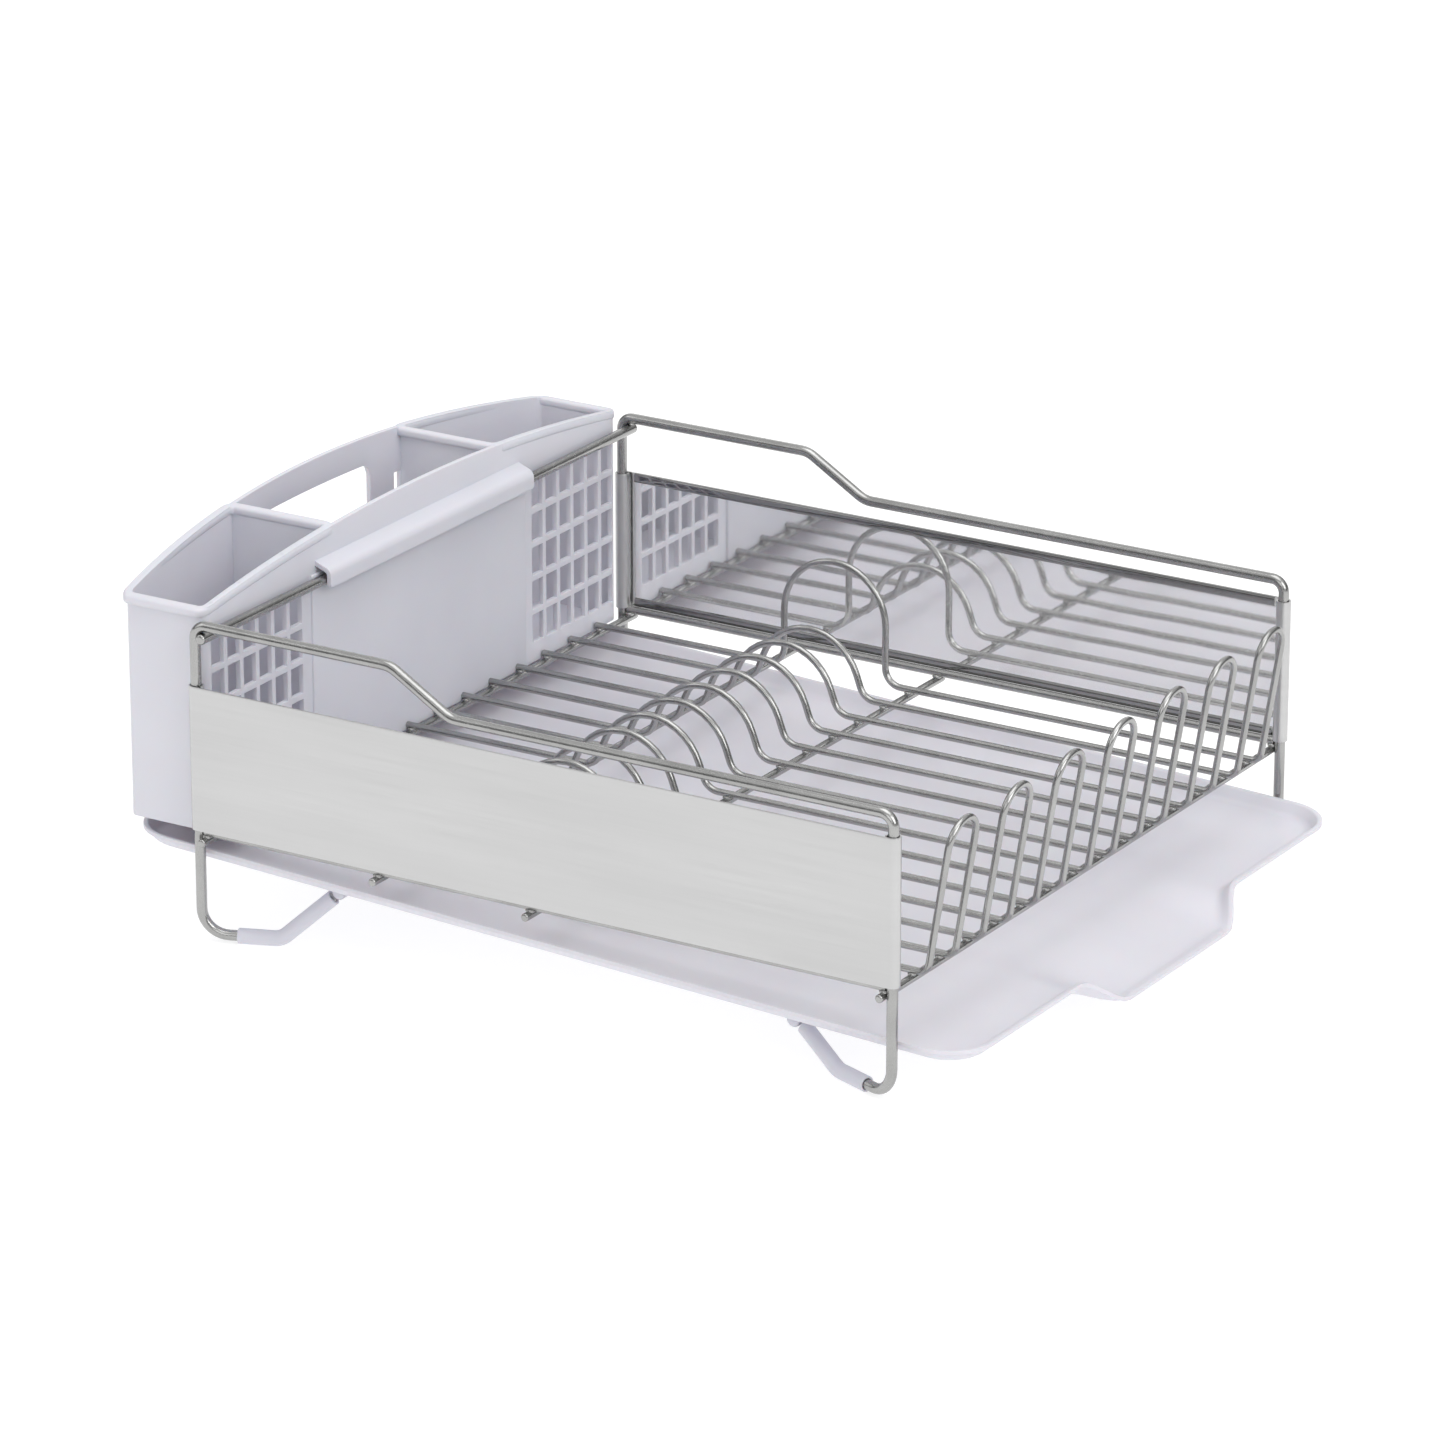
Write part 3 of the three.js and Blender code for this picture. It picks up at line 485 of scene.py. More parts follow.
def foot_route(leg_x, leg_y, inward, bar):
    """Corners of a foot from the leg to the support bar."""
    bar_place = middle_of(bar)
    away = math.copysign(1, bar_place.x - leg_x)
    direction = Vector((away * math.cos(FOOT_HEADING), inward * math.sin(FOOT_HEADING), 0))
    leg_foot = Vector((leg_x, leg_y, FOOT_HEIGHT))
    lift = leg_foot + direction * FOOT_FLAT
    reach = abs(bar_place.x - leg_x) / math.cos(FOOT_HEADING) - FOOT_FLAT
    climb = direction * reach + Vector((0, 0, bar_place.z - FOOT_HEIGHT))
    top = lift + climb * (1 - (bar_radius + SLEEVE_STOP) / climb.length)
    start = leg_foot + direction * SLEEVE_START
    return {"leg": leg_foot, "start": start, "lift": lift, "top": top}


def side_frame(leg_y, inward):
    rear = foot_route(rear_x, leg_y, inward, "tray_bar_rear")
    front = foot_route(front_x, leg_y, inward, "tray_bar_front")
    route = [
        (rear["top"], 0),
        (rear["lift"], FOOT_RISE_BEND),
        (rear["leg"], FOOT_BEND),
        (Vector((rear_x, leg_y, top_z)), TOP_BEND),
        (Vector((rear_x + STEP_START, leg_y, top_z)), STEP_BEND),
        (Vector((rear_x + STEP_END, leg_y, top_z - STEP_DROP)), STEP_BEND),
        (Vector((front_x, leg_y, top_z - STEP_DROP)), TOP_BEND),
        (front["leg"], FOOT_BEND),
        (front["lift"], FOOT_RISE_BEND),
        (front["top"], 0),
    ]
    return bend_wire(route, FRAME_WIRE)


sides = {"near": (near_y, 1), "far": (far_y, -1)}
for side, (leg_y, inward) in sides.items():
    finish_piece(
        f"frame_wire_{side}", side_frame(leg_y, inward), satin_wire,
        [f"side_frame_{side}"])

# %% [markdown]
# ## Rails, cross wires and the hanger bar
#
# These are straight wires cut to length. The bottom rails end against the legs, while the
# cross wires pass under the rails and stand out a little as round nubs.

# %% Cut the straight wires
def straight_wire(node, radius, axis):
    low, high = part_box(node)
    start = middle_of(node)
    end = start.copy()
    start[axis] = low[axis]
    end[axis] = high[axis]
    return bend_wire([(start, 0), (end, 0)], radius)


CROSS_WIRES = ("rear", "mid_rear", "mid_front", "front")
for side in sides:
    finish_piece(
        f"rail_wire_{side}", straight_wire(f"bottom_rail_{side}", RAIL_WIRE, 0), satin_wire,
        [f"bottom_rail_{side}"])
for place in CROSS_WIRES:
    finish_piece(
        f"floor_wire_{place}", straight_wire(f"cross_wire_{place}", RAIL_WIRE, 1), satin_wire,
        [f"cross_wire_{place}"])
finish_piece(
    "hanger_wire", straight_wire("hanger_bar", FRAME_WIRE, 1), satin_wire,
    ["hanger_bar"])

# %% [markdown]
# ## Plate wires
#
# Each plate wire is two rods in one length of wire. It starts at the rear cross wire, rises
# over a hump that holds the plates apart, runs to the front, stands up in a leaning loop and
# comes back the same way as the next rod. The last rod carries a taller loop for pans.
# A hump's top is one bend that touches both leaning sides, so its radius follows from its
# height, the distance between its feet and its lean.

# %% Bend the plate wires
HUMP_CENTRE = 143 * MM     # from the rear leg
HUMP_HEIGHT = 31.3 * MM
HUMP_SPREAD = 31.5 * MM
HUMP_LEAN = math.radians(20)
TALL_HEIGHT = 59 * MM
TALL_SPREAD = 29.3 * MM
HUMP_FOOT_BEND = 9 * MM
LOOP_FOOT_BEND = 6 * MM
LOOP_REACH = 3.9 * MM      # loop feet ahead of the front leg
LOOP_LEAN = math.radians(9.2)


def low_hump(y):
    sine = math.sin(HUMP_LEAN)
    radius = (HUMP_SPREAD * math.cos(HUMP_LEAN) - HUMP_HEIGHT * sine) / (1 - sine)
    peak = HUMP_SPREAD / math.tan(HUMP_LEAN)
    x = rear_x + HUMP_CENTRE
    return [
        (Vector((x - HUMP_SPREAD, y, rod_z)), HUMP_FOOT_BEND),
        (Vector((x, y, rod_z + peak)), radius),
        (Vector((x + HUMP_SPREAD, y, rod_z)), HUMP_FOOT_BEND),
    ]


def tall_hump(y):
    x = rear_x + HUMP_CENTRE
    corners = [(-1, 0), (-1, TALL_HEIGHT), (1, TALL_HEIGHT), (1, 0)]
    bends = [HUMP_FOOT_BEND, TALL_SPREAD, TALL_SPREAD, HUMP_FOOT_BEND]
    return [
        (Vector((x + way * TALL_SPREAD, y, rod_z + height)), radius)
        for (way, height), radius in zip(corners, bends)
    ]


def plate_wire(node, far_hump):
    low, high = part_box(node)
    near_rod = low[1] + PLATE_WIRE
    far_rod = high[1] - PLATE_WIRE
    loop_x = front_x + LOOP_REACH
    loop_height = high[2] - PLATE_WIRE - rod_z
    arch = (far_rod - near_rod) / 2

    def loop_corner(y):
        return Vector((loop_x + loop_height * math.tan(LOOP_LEAN), y, rod_z + loop_height))

    route = [
        (Vector((low[0], near_rod, rod_z)), 0),
        *low_hump(near_rod),
        (Vector((loop_x, near_rod, rod_z)), LOOP_FOOT_BEND),
        (loop_corner(near_rod), arch),
        (loop_corner(far_rod), arch),
        (Vector((loop_x, far_rod, rod_z)), LOOP_FOOT_BEND),
        *reversed(far_hump(far_rod)),
        (Vector((low[0], far_rod, rod_z)), 0),
    ]
    return bend_wire(route, PLATE_WIRE)


plate_nodes = sorted(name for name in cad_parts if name.startswith("plate_wire"))
for node in plate_nodes:
    shape = tall_hump if node == plate_nodes[-1] else low_hump
    finish_piece(
        node.replace("plate", "dish"), plate_wire(node, shape), satin_wire, [node])

# %% [markdown]
# ## Welds
#
# Every crossing is resistance welded: the two wires are pressed and melted together, and a
# little metal swells out at both sides. A flattened ball at each crossing, lying across the
# touching line, gives that swelling and closes the small clearance of the frame.

# %% Place the welds
WELD_SPREAD = 1.25
ROD_WELD = 1.3 * MM        # half the height of a weld under a rod
RAIL_WELD = 1.5 * MM       # half the height of a weld under a rail


def add_weld(work, at, radius, flat):
    """A flattened ball: wide along both wires and low between them."""
    size = Matrix.Diagonal((radius * WELD_SPREAD, radius * WELD_SPREAD, flat, 1))
    bmesh.ops.create_icosphere(
        work, subdivisions=2, radius=1.0, matrix=Matrix.Translation(at) @ size)


rods = [
    y for node in plate_nodes
    for y in (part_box(node)[0][1] + PLATE_WIRE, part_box(node)[1][1] - PLATE_WIRE)
]
weld_z = (cross_z + RAIL_WIRE + rod_z - PLATE_WIRE) / 2
work = bmesh.new()
for place in CROSS_WIRES:
    cross_x = middle_of(f"cross_wire_{place}").x
    for y in rods:
        add_weld(work, Vector((cross_x, y, weld_z)), PLATE_WIRE, ROD_WELD)
    for y in (near_y, far_y):
        add_weld(work, Vector((cross_x, y, weld_z)), RAIL_WIRE, RAIL_WELD)
finish_piece("welds", work, satin_wire)

# %% [markdown]
# ## Side panels
#
# A panel is a sheet wrapped round both legs. It is drawn the same way as a wire, but what
# moves along the route is an upright edge instead of a ring. A Solidify modifier gives the
# sheet its thickness and gives its back the bright finish, and a small bevel takes the
# sharpness off the cut edges.

# %% Fold the panels
SHEET = 0.7 * MM
SHEET_EDGE = 0.2 * MM      # rounding of the cut edges
CURL_END = 0.4             # how far a curl's end reaches back toward the panel, in wraps
wrap = FRAME_WIRE + FIT + SHEET / 2
curl = wrap * 0.999        # two full bends would leave no straight length between them


def panel_route(leg_y, inward):
    def at(x, way):
        return Vector((x, leg_y + way * inward * wrap, 0))
    return [
        (at(rear_x + wrap, -CURL_END), 0),
        (at(rear_x + wrap, 1), curl),
        (at(rear_x - wrap, 1), curl),
        (at(rear_x - wrap, -1), wrap),
        (at(front_x + wrap, -1), wrap),
        (at(front_x + wrap, 1), curl),
        (at(front_x - wrap, 1), curl),
        (at(front_x - wrap, -CURL_END), 0),
    ]


def fold_panel(side, leg_y, inward):
    low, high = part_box(f"side_panel_{side}")
    work = bmesh.new()
    work.verts.layers.float_vector.new("wire_place")
    route = panel_route(leg_y, inward)
    ends = [work.verts.new(route[0][0] + Vector((0, 0, z))) for z in (low[2], high[2])]
    edge = work.edges.new(ends)
    follow(work, [edge], route)
    for z in (low[2] + HOLD, high[2] - HOLD):
        cut(work, 2, z)
    return finish_piece(
        f"panel_{side}", work, brushed_sheet, [f"side_panel_{side}"])


for side, (leg_y, inward) in sides.items():
    panel = fold_panel(side, leg_y, inward)
    outside = panel.data.polygons[0].normal
    panel.data.materials.append(bright_sheet)
    wall = panel.modifiers.new("wall", "SOLIDIFY")
    wall.thickness = SHEET
    wall.offset = 0
    wall.material_offset = 1
    edges = panel.modifiers.new("edges", "BEVEL")
    edges.width = SHEET_EDGE
    edges.segments = 2
    print(panel.name, "normal", tuple(round(v, 2) for v in outside))

# %% [markdown]
# The upper and lower edges are folded over on the inside, so that no raw edge shows. Each fold
# is a narrow strip with a round outer edge, lying against the sheet.

# %% Fold the hems
HEM_HEIGHT = 5 * MM
HEM_INSET = 6 * MM
HEM_BULGE = 1.6 * MM       # the folded edge stands this far inside the sheet
HEM_ROUNDING = 0.95        # share of the bulge that is round


def hem_strips(side, leg_y, inward):
    low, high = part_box(f"side_panel_{side}")
    work = bmesh.new()
    back = leg_y - inward * wrap
    y = back + inward * HEM_BULGE / 2
    for z in (low[2] + HEM_HEIGHT / 2, high[2] - HEM_HEIGHT / 2):
        size = Matrix.Diagonal((front_x - rear_x - 2 * HEM_INSET, HEM_BULGE, HEM_HEIGHT, 1))
        place = Matrix.Translation(((rear_x + front_x) / 2, y, z))
        bmesh.ops.create_cube(work, size=1.0, matrix=place @ size)
    along = [e for e in work.edges if abs(e.verts[0].co.x - e.verts[1].co.x) > HEM_INSET]
    inner = [e for e in along if (e.verts[0].co.y - y) * inward > 0]
    round_off(work, inner, HEM_BULGE * HEM_ROUNDING, 6)
    return work


for side, (leg_y, inward) in sides.items():
    # The hems carry the finish with painted shade in its colour.
    finish_piece(f"hems_{side}", hem_strips(side, leg_y, inward), hem_painted_shade_sheet)

# %% [markdown]
# ## Foot sleeves and support bars
#
# The bare feet would scratch a worktop, so soft sleeves cover them. A sleeve is a thick tube
# along the same route as its foot. Its cut ends show the wall of the tube and the wire in it.

# %% Slide on the sleeves
SLEEVE_RADIUS = 3.8 * MM
SLEEVE_WALL = 0.9 * MM
SLEEVE_SIDES = 24
SLEEVE_ROUNDING = 0.35 * MM
HOLE_TAPER = 0.1 * MM
HOLE_DEPTH = 0.8 * MM


def foot_sleeve(leg_x, leg_y, inward, bar):
    foot = foot_route(leg_x, leg_y, inward, bar)
    route = [(foot["start"], 0), (foot["lift"], FOOT_RISE_BEND), (foot["top"], 0)]
    work = bmesh.new()
    heading = foot["lift"] - foot["start"]
    first = start_ring(work, SLEEVE_RADIUS, foot["start"], heading, SLEEVE_SIDES)
    last = follow(work, first, route)
    for ring in (first, last):
        cap = bmesh.ops.edgeloop_fill(work, edges=ring)["faces"]
        rim = list(cap[0].edges)
        bmesh.ops.inset_region(work, faces=cap, thickness=SLEEVE_WALL, depth=0)
        bmesh.ops.inset_region(work, faces=cap, thickness=HOLE_TAPER, depth=-HOLE_DEPTH)
        round_off(work, rim, SLEEVE_ROUNDING, 3)
    return work


for side, (leg_y, inward) in sides.items():
    for end, leg_x in (("rear", rear_x), ("front", front_x)):
        finish_piece(
            f"sleeve_{end}_{side}", foot_sleeve(leg_x, leg_y, inward, f"tray_bar_{end}"),
            foot_plastic, [f"foot_sleeve_{end}_{side}"])

# %% [markdown]
# Two plastic bars join the feet of one side to the feet of the other and carry the tray. They
# are round rod cut to length, so the helper for straight wires makes them.

# %% Cut the support bars
for end in ("rear", "front"):
    finish_piece(
        f"support_{end}", straight_wire(f"tray_bar_{end}", bar_radius, 1), foot_plastic,
        [f"tray_bar_{end}"])

# %% [markdown]
# ## Cutlery caddy: the shell
#
# The caddy is one thin-walled moulding. A mould maker would draw its outer skin first and then
# let the wall grow inward, and the same order works here: an upright edge is drawn round the
# plan with rounded corners, the skin is cut along the edges of its openings, the faces in
# them are deleted, and Solidify grows the wall. The skin is drawn straight; afterwards every
# vertex is moved so that the rear wall bows out and the top edge arches.

# %% Sizes of the caddy
CADDY_WALL = 2.6 * MM
CADDY_EDGE = 0.5 * MM      # rounding of the edges of its openings
CADDY_CORNER = 5 * MM
RIM_OUT = 2.8 * MM         # rim overhang
REAR_BOW = 17.5 * MM       # the rear wall comes forward this much at the ends
TOP_BOW = 13.3 * MM        # the top edge falls this much toward the ends
CADDY_DEPTH = 64 * MM      # front face to rear wall at the middle
CADDY_FRONT = 1 * MM       # front face ahead of the rear leg
CUP_LENGTH = 108 * MM
ARCH_START = 152.5 * MM    # the skin is stretched toward the arch above this height

caddy_low, caddy_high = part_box("cutlery_caddy")
caddy_half = caddy_high[1] - RIM_OUT
caddy_front = rear_x + CADDY_FRONT
caddy_rear = caddy_front - CADDY_DEPTH
caddy_bottom = caddy_low[2]
caddy_top = caddy_high[2]
cup_face = caddy_half - CUP_LENGTH
print(f"caddy {2 * caddy_half:.3f} long, {CADDY_DEPTH:.3f} deep, top at {caddy_top:.4f}")


def smooth_step(value):
    held = min(max(value, 0.0), 1.0)
    return held * held * (3 - 2 * held)


def bow(work):
    """Brings the straight rear wall forward toward the ends."""
    for v in work.verts:
        share = min(abs(v.co.y) / caddy_half, 1.0) ** 2
        v.co.x += REAR_BOW * share * (caddy_front - v.co.x) / CADDY_DEPTH


def arch(work, start=0):
    """Lowers what is above a height toward the ends, most at the top edge."""
    for v in work.verts:
        share = min(abs(v.co.y) / caddy_half, 1.0) ** 2
        rise = min(max((v.co.z - start) / (caddy_top - start), 0), 1) if start else 1
        v.co.z -= TOP_BOW * share * rise


# %% [markdown]
# Water drains and air gets in through a grid on each end of the front wall. In the rear wall
# there is a wide opening for a hand and a narrow slot on each side of it. The moulder's tool
# has a core for each; here the skin is cut along their edges, and the faces between the cuts
# are taken out. The extra upright cuts give the bow and the arch enough corners to look round.

# %% Cut the openings in the skin
GRID_COLUMNS = 6
GRID_ROWS = 5
GRID_PITCH_Y = 12.9 * MM
GRID_PITCH_Z = 17.7 * MM
GRID_BAR = 2.8 * MM
GRID_INSET = 4.4 * MM      # first opening from the caddy's end
GRID_BASE = 63 * MM
GRIP_HALF = 47 * MM
GRIP_SILL = 128 * MM
GRIP_TOP = 163 * MM
GRIP_CORNER = 6 * MM
SLOT_START = 66.2 * MM
CURVE_STEP = 8 * MM        # between the cuts that let the wall bow and arch
CURVE_CUTS = 22
ON_EDGE = 1e-5

column_starts = [
    caddy_half - GRID_INSET - (c + 1) * GRID_PITCH_Y + GRID_BAR for c in range(GRID_COLUMNS)]
row_starts = [GRID_BASE + r * GRID_PITCH_Z for r in range(GRID_ROWS)]
cell_y = GRID_PITCH_Y - GRID_BAR
cell_z = GRID_PITCH_Z - GRID_BAR


def is_open(face):
    middle = face.calc_center_median()
    across = abs(middle.y)
    if middle.x > caddy_front - MM:
        in_column = any(y < across < y + cell_y for y in column_starts)
        return in_column and any(z < middle.z < z + cell_z for z in row_starts)
    if middle.x > caddy_rear + MM:
        return False
    in_grip = across < GRIP_HALF and GRIP_SILL < middle.z < GRIP_TOP
    in_slot = SLOT_START < across < cup_face and GRIP_SILL < middle.z < ARCH_START
    return in_grip or in_slot


def cut_openings(work):
    for y in column_starts:
        for edge in (y, y + cell_y):
            cut(work, 1, edge)
            cut(work, 1, -edge)
    grip_cuts = [GRIP_HALF - GRIP_CORNER, GRIP_HALF, SLOT_START, cup_face]
    curve_cuts = [step * CURVE_STEP for step in range(CURVE_CUTS)]
    for y in grip_cuts + curve_cuts:
        cut(work, 1, y)
        cut(work, 1, -y)
    for z in row_starts:
        cut(work, 2, z)
        cut(work, 2, z + cell_z)
    for z in (GRIP_SILL, GRIP_SILL + GRIP_CORNER, GRIP_TOP - GRIP_CORNER, GRIP_TOP, ARCH_START):
        cut(work, 2, z)
    holes = [face for face in work.faces if is_open(face)]
    bmesh.ops.delete(work, geom=holes, context="FACES")


def soften_grip(work):
    """Draws the hand opening's corners inward, which rounds them."""
    pull = GRIP_CORNER * (1 - math.sqrt(0.5))
    for v in work.verts:
        on_rear = v.co.x < caddy_rear + MM
        at_corner_y = abs(abs(v.co.y) - GRIP_HALF) < ON_EDGE
        for z, way in ((GRIP_SILL, 1), (GRIP_TOP, -1)):
            if on_rear and at_corner_y and abs(v.co.z - z) < ON_EDGE:
                v.co.y -= math.copysign(pull, v.co.y)
                v.co.z += way * pull


# %% [markdown]
# The plan is drawn with the same route helper as the wires, from the middle of the front wall
# all the way round. The bottom is one face laid across the lower edge. Solidify keeps the
# outer skin where it is and grows the wall inward, and a bevel softens the openings.

# %% Draw the skin and grow the wall
def new_shape():
    work = bmesh.new()
    work.verts.layers.float_vector.new("wire_place")
    return work


def caddy_skin():
    work = new_shape()

    def at(x, y):
        return Vector((x, y, 0))

    route = [
        (at(caddy_front, 0), 0),
        (at(caddy_front, caddy_half), CADDY_CORNER),
        (at(caddy_rear, caddy_half), CADDY_CORNER),
        (at(caddy_rear, -caddy_half), CADDY_CORNER),
        (at(caddy_front, -caddy_half), CADDY_CORNER),
        (at(caddy_front, 0), 0),
    ]
    ends = [work.verts.new((caddy_front, 0, z)) for z in (caddy_bottom, caddy_top)]
    follow(work, [work.edges.new(ends)], route)
    bmesh.ops.remove_doubles(work, verts=work.verts, dist=SAME_PLACE)
    cut_openings(work)
    soften_grip(work)
    rim = [
        e for e in work.edges
        if e.is_boundary and all(v.co.z < caddy_bottom + SAME_PLACE for v in e.verts)]
    bmesh.ops.edgeloop_fill(work, edges=rim)
    bow(work)
    arch(work, ARCH_START)
    return work


def add_wall(piece, thickness, rounding, segments=3, angle=32):
    wall = piece.modifiers.new("wall", "SOLIDIFY")
    wall.thickness = thickness
    wall.offset = -1
    wall.use_even_offset = True
    round_edges(piece, rounding, segments, angle)


def round_edges(piece, rounding, segments=3, angle=32):
    edges = piece.modifiers.new("rounded edges", "BEVEL")
    edges.width = rounding
    edges.segments = segments
    edges.limit_method = "ANGLE"
    edges.angle_limit = math.radians(angle)


shell = finish_piece(
    "caddy_shell", caddy_skin(), satin_plastic, ["cutlery_caddy"],
    body="cutlery_caddy")
add_wall(shell, CADDY_WALL, CADDY_EDGE)

# %% [markdown]
# ## Cutlery caddy: cup walls, rims and the hanging lip
#
# Two walls close the cups toward the middle. They are plain blocks let a little way into the
# shell, bowed and arched with it so that their rear and upper edges follow the skin.

# %% Set in the cup walls
LET_IN = 1 * MM            # a cup wall stops this far short of the skin's outer face


def block(work, low, high):
    size = Vector(high) - Vector(low)
    middle = (Vector(high) + Vector(low)) / 2
    bmesh.ops.create_cube(
        work, size=1.0, matrix=Matrix.Translation(middle) @ Matrix.Diagonal((*size, 1)))


def cup_walls():
    work = bmesh.new()
    for side in (-1, 1):
        edges = sorted((side * cup_face, side * (cup_face + CADDY_WALL)))
        block(
            work, (caddy_rear + LET_IN, edges[0], caddy_bottom + LET_IN),
            (caddy_front - LET_IN, edges[1], caddy_top - LET_IN))
    bow(work)
    arch(work, ARCH_START)
    return work


finish_piece("cup_walls", cup_walls(), satin_plastic, body="cutlery_caddy")

# %% [markdown]
# A soft rim runs round each cup: a rounded bar carried round the cup's plan, with the same
# route helper as the wires. At the front it stands only a little ahead of the wall, so that
# the caddy can hang close to the rack.

# %% Run a rim round each cup
RIM_WIDTH = 6.0 * MM
RIM_HEIGHT = 4.6 * MM
RIM_ROUND = 1.7 * MM
RIM_FRONT = 0.5 * MM       # the rim stands this far ahead of the front wall
ARCH_STEP = 6 * MM


def rounded_bar(work, width, height, rounding, at):
    """The open outline of a bar with rounded corners, square to the Y axis."""
    upright = Matrix.Rotation(math.radians(90), 4, "X")
    size = Matrix.Diagonal((width, height, 1, 1))
    bmesh.ops.create_grid(
        work, x_segments=1, y_segments=1, size=0.5, matrix=Matrix.Translation(at) @ upright @ size)
    round_off(work, work.verts[:], rounding, 4, "VERTICES")
    bmesh.ops.delete(work, geom=work.faces[:], context="FACES_ONLY")
    return work.edges[:]


def cup_rim(side):
    inset = RIM_WIDTH / 2
    front = caddy_front + RIM_FRONT - inset
    rear = caddy_rear - RIM_OUT + inset
    end = side * (caddy_half + RIM_OUT - inset)
    inner = side * (cup_face - RIM_OUT + inset)
    z = caddy_top - RIM_HEIGHT / 2
    start = (end + inner) / 2

    def at(x, y):
        return Vector((x, y, z))

    route = [
        (at(front, start), 0),
        (at(front, end), CADDY_CORNER),
        (at(rear, end), CADDY_CORNER),
        (at(rear, inner), CADDY_CORNER),
        (at(front, inner), CADDY_CORNER),
        (at(front, start), 0),
    ]
    work = new_shape()
    ring = rounded_bar(work, RIM_WIDTH, RIM_HEIGHT, RIM_ROUND, route[0][0])
    follow(work, ring, route)
    bmesh.ops.remove_doubles(work, verts=work.verts, dist=SAME_PLACE)
    low, high = sorted((inner, end))
    for step in range(1, math.ceil((high - low) / ARCH_STEP)):
        cut(work, 1, low + step * ARCH_STEP)
    bow(work)
    arch(work)
    return work


for side, way in (("near", -1), ("far", 1)):
    finish_piece(f"cup_rim_{side}", cup_rim(way), satin_plastic, body="cutlery_caddy")

# %% [markdown]
# The middle of the front wall is a plain plate, a little proud of the grids. Above it a lip
# reaches over the hanger bar: a sheet bent along the bar, as thick as the wall, with rounded
# lower corners.

# %% Shape the plate and the lip
PAD_HALF = 93 * MM
PAD_PROUD = 1.2 * MM
PAD_ROUNDING = 0.8 * MM
LIP_HALF = 89 * MM
LIP_WALL = 2.4 * MM
LIP_DROP = 3 * MM          # the lip reaches this far below the bar's centre
LIP_BEND = 3.2 * MM
LIP_CORNER = 3.5 * MM
LIP_ROOT_IN = 1.2 * MM     # the lip starts this far behind the front wall's face
LIP_ROOT_RISE = 4.2 * MM
LIP_SHOULDER_RISE = 0.6 * MM
LIP_EDGE = 0.9 * MM

bar = middle_of("hanger_bar")
lip_x = bar.x + FRAME_WIRE + FIT + LIP_WALL / 2


def front_plate():
    work = bmesh.new()
    block(
        work, (caddy_front - MM, -PAD_HALF, caddy_bottom),
        (caddy_front + PAD_PROUD, PAD_HALF, bar.z + FRAME_WIRE + FIT))
    round_off(work, work.edges[:], PAD_ROUNDING, 3)
    return work


def hanging_lip():
    work = new_shape()
    shoulder = bar.z + FRAME_WIRE + FIT + LIP_WALL / 2

    def at(x, z):
        return Vector((x, -LIP_HALF, z))

    route = [
        (at(caddy_front - LIP_ROOT_IN, shoulder + LIP_ROOT_RISE), 0),
        (at(lip_x, shoulder + LIP_SHOULDER_RISE), LIP_BEND),
        (at(lip_x, bar.z - LIP_DROP), 0),
    ]
    root = route[0][0]
    ends = [work.verts.new(root), work.verts.new(root + Vector((0, 2 * LIP_HALF, 0)))]
    last = follow(work, [work.edges.new(ends)], route)
    round_off(work, list(last[0].verts), LIP_CORNER, 5, "VERTICES")
    return work


finish_piece("caddy_front_plate", front_plate(), satin_plastic, body="cutlery_caddy")
lip = finish_piece("caddy_lip", hanging_lip(), satin_plastic, body="cutlery_caddy")
wall = lip.modifiers.new("wall", "SOLIDIFY")
wall.thickness = LIP_WALL
wall.offset = 0
round_edges(lip, LIP_EDGE, 4)

# %% [markdown]
# ## Drip tray
#
# The tray is pressed from one sheet of the same plastic. It starts as a flat plate: its
# corners are rounded, an inset leaves the flat lip, and a second inset, pushed down, makes
# the sloping wall and the floor. Then the plate is cut into strips near the front, and
# the strips in the middle are drawn down and out into a spout. Solidify gives the sheet its
# thickness at the end. The frame splits the tray into eight plain parts, so that things can
# rest in it; it is one pressing, so one piece stands for all eight.

# %% Press the tray
TRAY_LIP = 2.2 * MM
TRAY_FLARE = 4.5 * MM
TRAY_DEPTH = 6.0 * MM
TRAY_SHEET = 1.8 * MM
TRAY_CORNER = 24 * MM
TRAY_EDGE = 0.7 * MM
TRAY_SLOPE = math.radians(2.45)
TRAY_REAR = -48 * MM       # lip ends, from the rear leg, measured along the sloping lip
TRAY_FRONT = 414 * MM
TRAY_LIP_HEIGHT = 45.2 * MM
FLOOR_EDGE = 5 * MM        # a band of floor beside the wall that keeps the floor's shading flat
FOLD_ANGLE = math.radians(20)
FOOT_ROUNDING = 2.6 * MM
LIP_ROUNDING = 0.8 * MM
SPOUT_HALF_TOP = 76 * MM
SPOUT_HALF_END = 48 * MM
SPOUT_REACH = 11.2 * MM
SPOUT_DROP = 13.2 * MM
SPOUT_WALL = 1.2 * MM
SPOUT_RUN = 46 * MM
SPOUT_STRIPS = 32
SPOUT_ROWS = 9

tray_nodes = [
    "tray_floor", "tray_floor_rear", "tray_side_near", "tray_side_far", "tray_rear",
    "tray_corner_near", "tray_corner_far", "tray_front"]
tray_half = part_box("tray_front")[1][1]


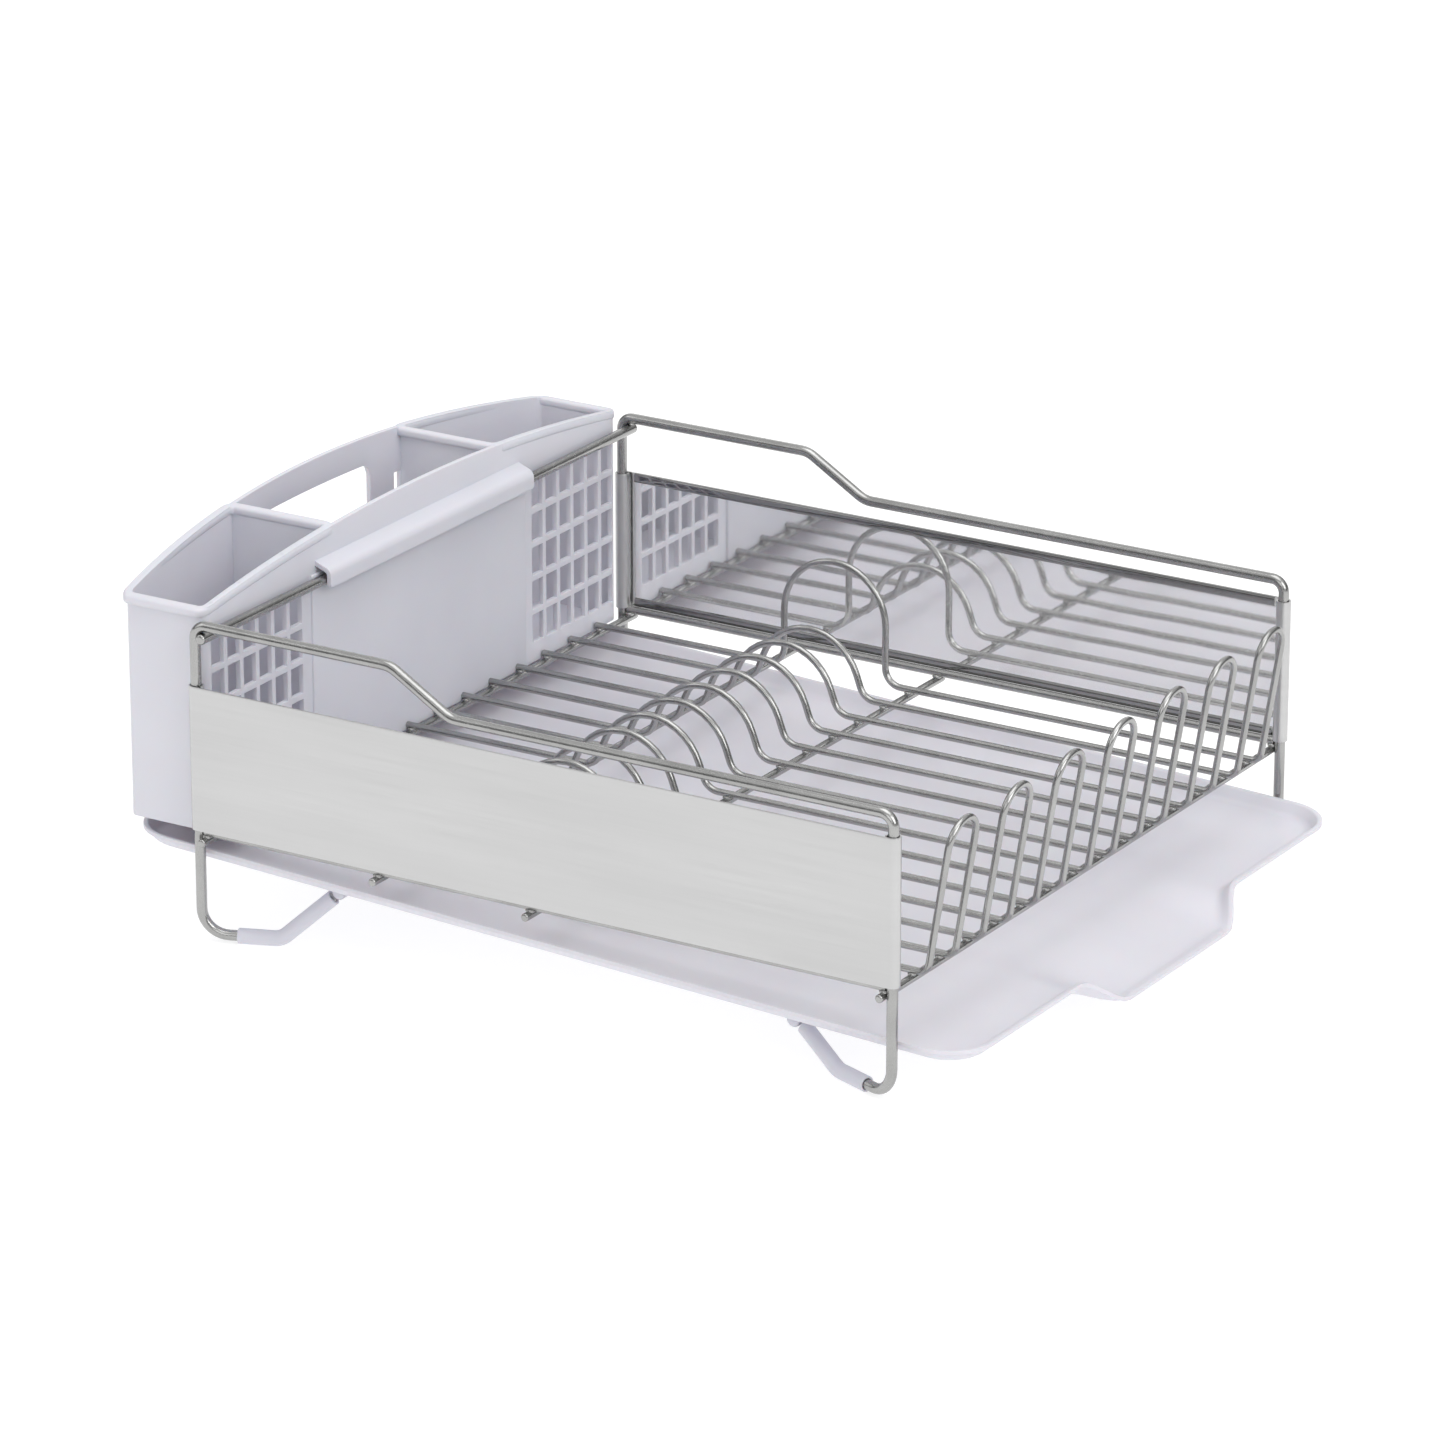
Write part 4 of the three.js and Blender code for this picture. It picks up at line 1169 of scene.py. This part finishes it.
def pressed_plate():
    work = bmesh.new()
    length = TRAY_FRONT - TRAY_REAR
    size = Matrix.Diagonal((length, 2 * tray_half, 1, 1))
    place = Matrix.Translation(((TRAY_FRONT + TRAY_REAR) / 2, 0, 0))
    bmesh.ops.create_grid(work, x_segments=1, y_segments=1, size=0.5, matrix=place @ size)
    round_off(work, work.verts[:], TRAY_CORNER, 12, "VERTICES")
    floor = work.faces[:]
    for width, depth in ((TRAY_LIP, 0), (TRAY_FLARE, TRAY_DEPTH), (FLOOR_EDGE, 0)):
        bmesh.ops.inset_region(
            work, faces=floor, thickness=width, depth=-depth, use_boundary=True,
            use_even_offset=True)
    work.normal_update()
    folds = [e for e in work.edges if e.is_manifold and e.calc_face_angle() > FOLD_ANGLE]
    for low, rounding in ((True, FOOT_ROUNDING), (False, LIP_ROUNDING)):
        chosen = [e for e in folds if e.is_valid and (e.verts[0].co.z < -TRAY_DEPTH / 2) == low]
        round_off(work, chosen, rounding, 5)
    return work


def draw_spout(work):
    """Draws the front middle of the plate down and out."""
    for step in range(SPOUT_STRIPS + 1):
        cut(work, 1, SPOUT_HALF_TOP * (2 * step / SPOUT_STRIPS - 1))
    for step in range(SPOUT_ROWS):
        cut(work, 0, TRAY_FRONT - SPOUT_RUN * (1 - step / SPOUT_ROWS))
    floor_drop = SPOUT_DROP - TRAY_DEPTH + SPOUT_WALL
    for v in work.verts:
        across = (SPOUT_HALF_TOP - abs(v.co.y)) / (SPOUT_HALF_TOP - SPOUT_HALF_END)
        along = (v.co.x - TRAY_FRONT + SPOUT_RUN) / (SPOUT_RUN - TRAY_FLARE - TRAY_LIP)
        share = smooth_step(across) * smooth_step(along)
        depth = min(-v.co.z / TRAY_DEPTH, 1.0)
        v.co.x += SPOUT_REACH * share
        v.co.z -= share * (SPOUT_DROP + (floor_drop - SPOUT_DROP) * depth)


def tray_skin():
    work = pressed_plate()
    draw_spout(work)
    tilt = Matrix.Rotation(TRAY_SLOPE, 4, "Y")
    place = Matrix.Translation((rear_x, 0, TRAY_LIP_HEIGHT))
    bmesh.ops.transform(work, matrix=place @ tilt, verts=work.verts)
    return work


tray = finish_piece(
    "tray", tray_skin(), satin_plastic, tray_nodes, body="drip_tray", crisp=60)
print("tray normal", tuple(round(v, 2) for v in tray.data.polygons[0].normal))
add_wall(tray, TRAY_SHEET, TRAY_EDGE, angle=50)

# %% [markdown]
# ## Floor
#
# The rack stands on a pale, even sheet that sweeps away on every side. It gives off a little
# light of its own, which lifts the shadows between the wires. It is part of the stage, so it
# isn't tied to the rack.

# %% Lay the floor
FLOOR_HALF = 12
FLOOR_DARK = (0.38, 0.38, 0.38)
FLOOR_PALE = (0.40, 0.40, 0.40)


def floor_finish():
    finish, tree, shader = new_finish(
        "pale floor", Roughness=0.9, Emission_Color=(1, 1, 1, 1), Emission_Strength=0.72)
    tone = add_noise(tree, object_place(tree), scale=3.0, detail=2.0)
    colour = add_colours(tree, tone, FLOOR_DARK, FLOOR_PALE)
    tree.links.new(colour, shader.inputs["Base Color"])
    return finish


floor_mesh = bpy.data.meshes.new("floor")
work = bmesh.new()
bmesh.ops.create_grid(work, x_segments=1, y_segments=1, size=FLOOR_HALF)
work.to_mesh(floor_mesh)
work.free()
floor_mesh.materials.append(floor_finish())
floor = bpy.data.objects.new("floor", floor_mesh)
bpy.context.scene.collection.objects.link(floor)

# %% [markdown]
# ## Light
#
# Steel shows what is round it more than it shows itself, so the light is broad. A sky that is
# brighter overhead than at the horizon keeps the shadows soft. Five soft boxes, one overhead
# and one on each side, give the round wires a light and a dark side; the strongest stands on
# the right, where the tray's spout and the front loops catch it.

# %% Light the scene
HORIZON = 0.20
ZENITH = 0.80
SOFT_BOXES = (             # name, place, width and height, power
    ("overhead", (0.3, -0.2, 3.0), (2.4, 2.4), 29),
    ("left", (-2.6, -1.6, 1.6), (1.6, 2.2), 12),
    ("front", (1.0, -3.0, 1.3), (2.0, 1.4), 13),
    ("right", (2.8, -0.8, 1.7), (2.0, 2.0), 35),
    ("behind", (-1.6, 3.0, 1.5), (3.0, 1.4), 12),
)


def sky(horizon, zenith):
    world = bpy.data.worlds.new("studio")
    world.use_nodes = True
    tree = world.node_tree
    place = tree.nodes.new("ShaderNodeTexCoord").outputs["Generated"]
    split = tree.nodes.new("ShaderNodeSeparateXYZ")
    tree.links.new(place, split.inputs["Vector"])
    ramp = add_colours(tree, split.outputs["Z"], (horizon,) * 3, (zenith,) * 3)
    tree.links.new(ramp, tree.nodes["Background"].inputs["Color"])
    return world


def soft_box(name, at, size, power):
    box = bpy.data.lights.new(name, "AREA")
    box.shape = "RECTANGLE"
    box.size, box.size_y = size
    box.energy = power
    lamp = bpy.data.objects.new(name, box)
    lamp.location = at
    lamp.rotation_euler = (-Vector(at)).to_track_quat("-Z", "Y").to_euler()
    bpy.context.scene.collection.objects.link(lamp)


bpy.context.scene.world = sky(HORIZON, ZENITH)
for name, at, size, power in SOFT_BOXES:
    soft_box(name, at, size, power)
bpy.context.scene.view_settings.view_transform = "Standard"
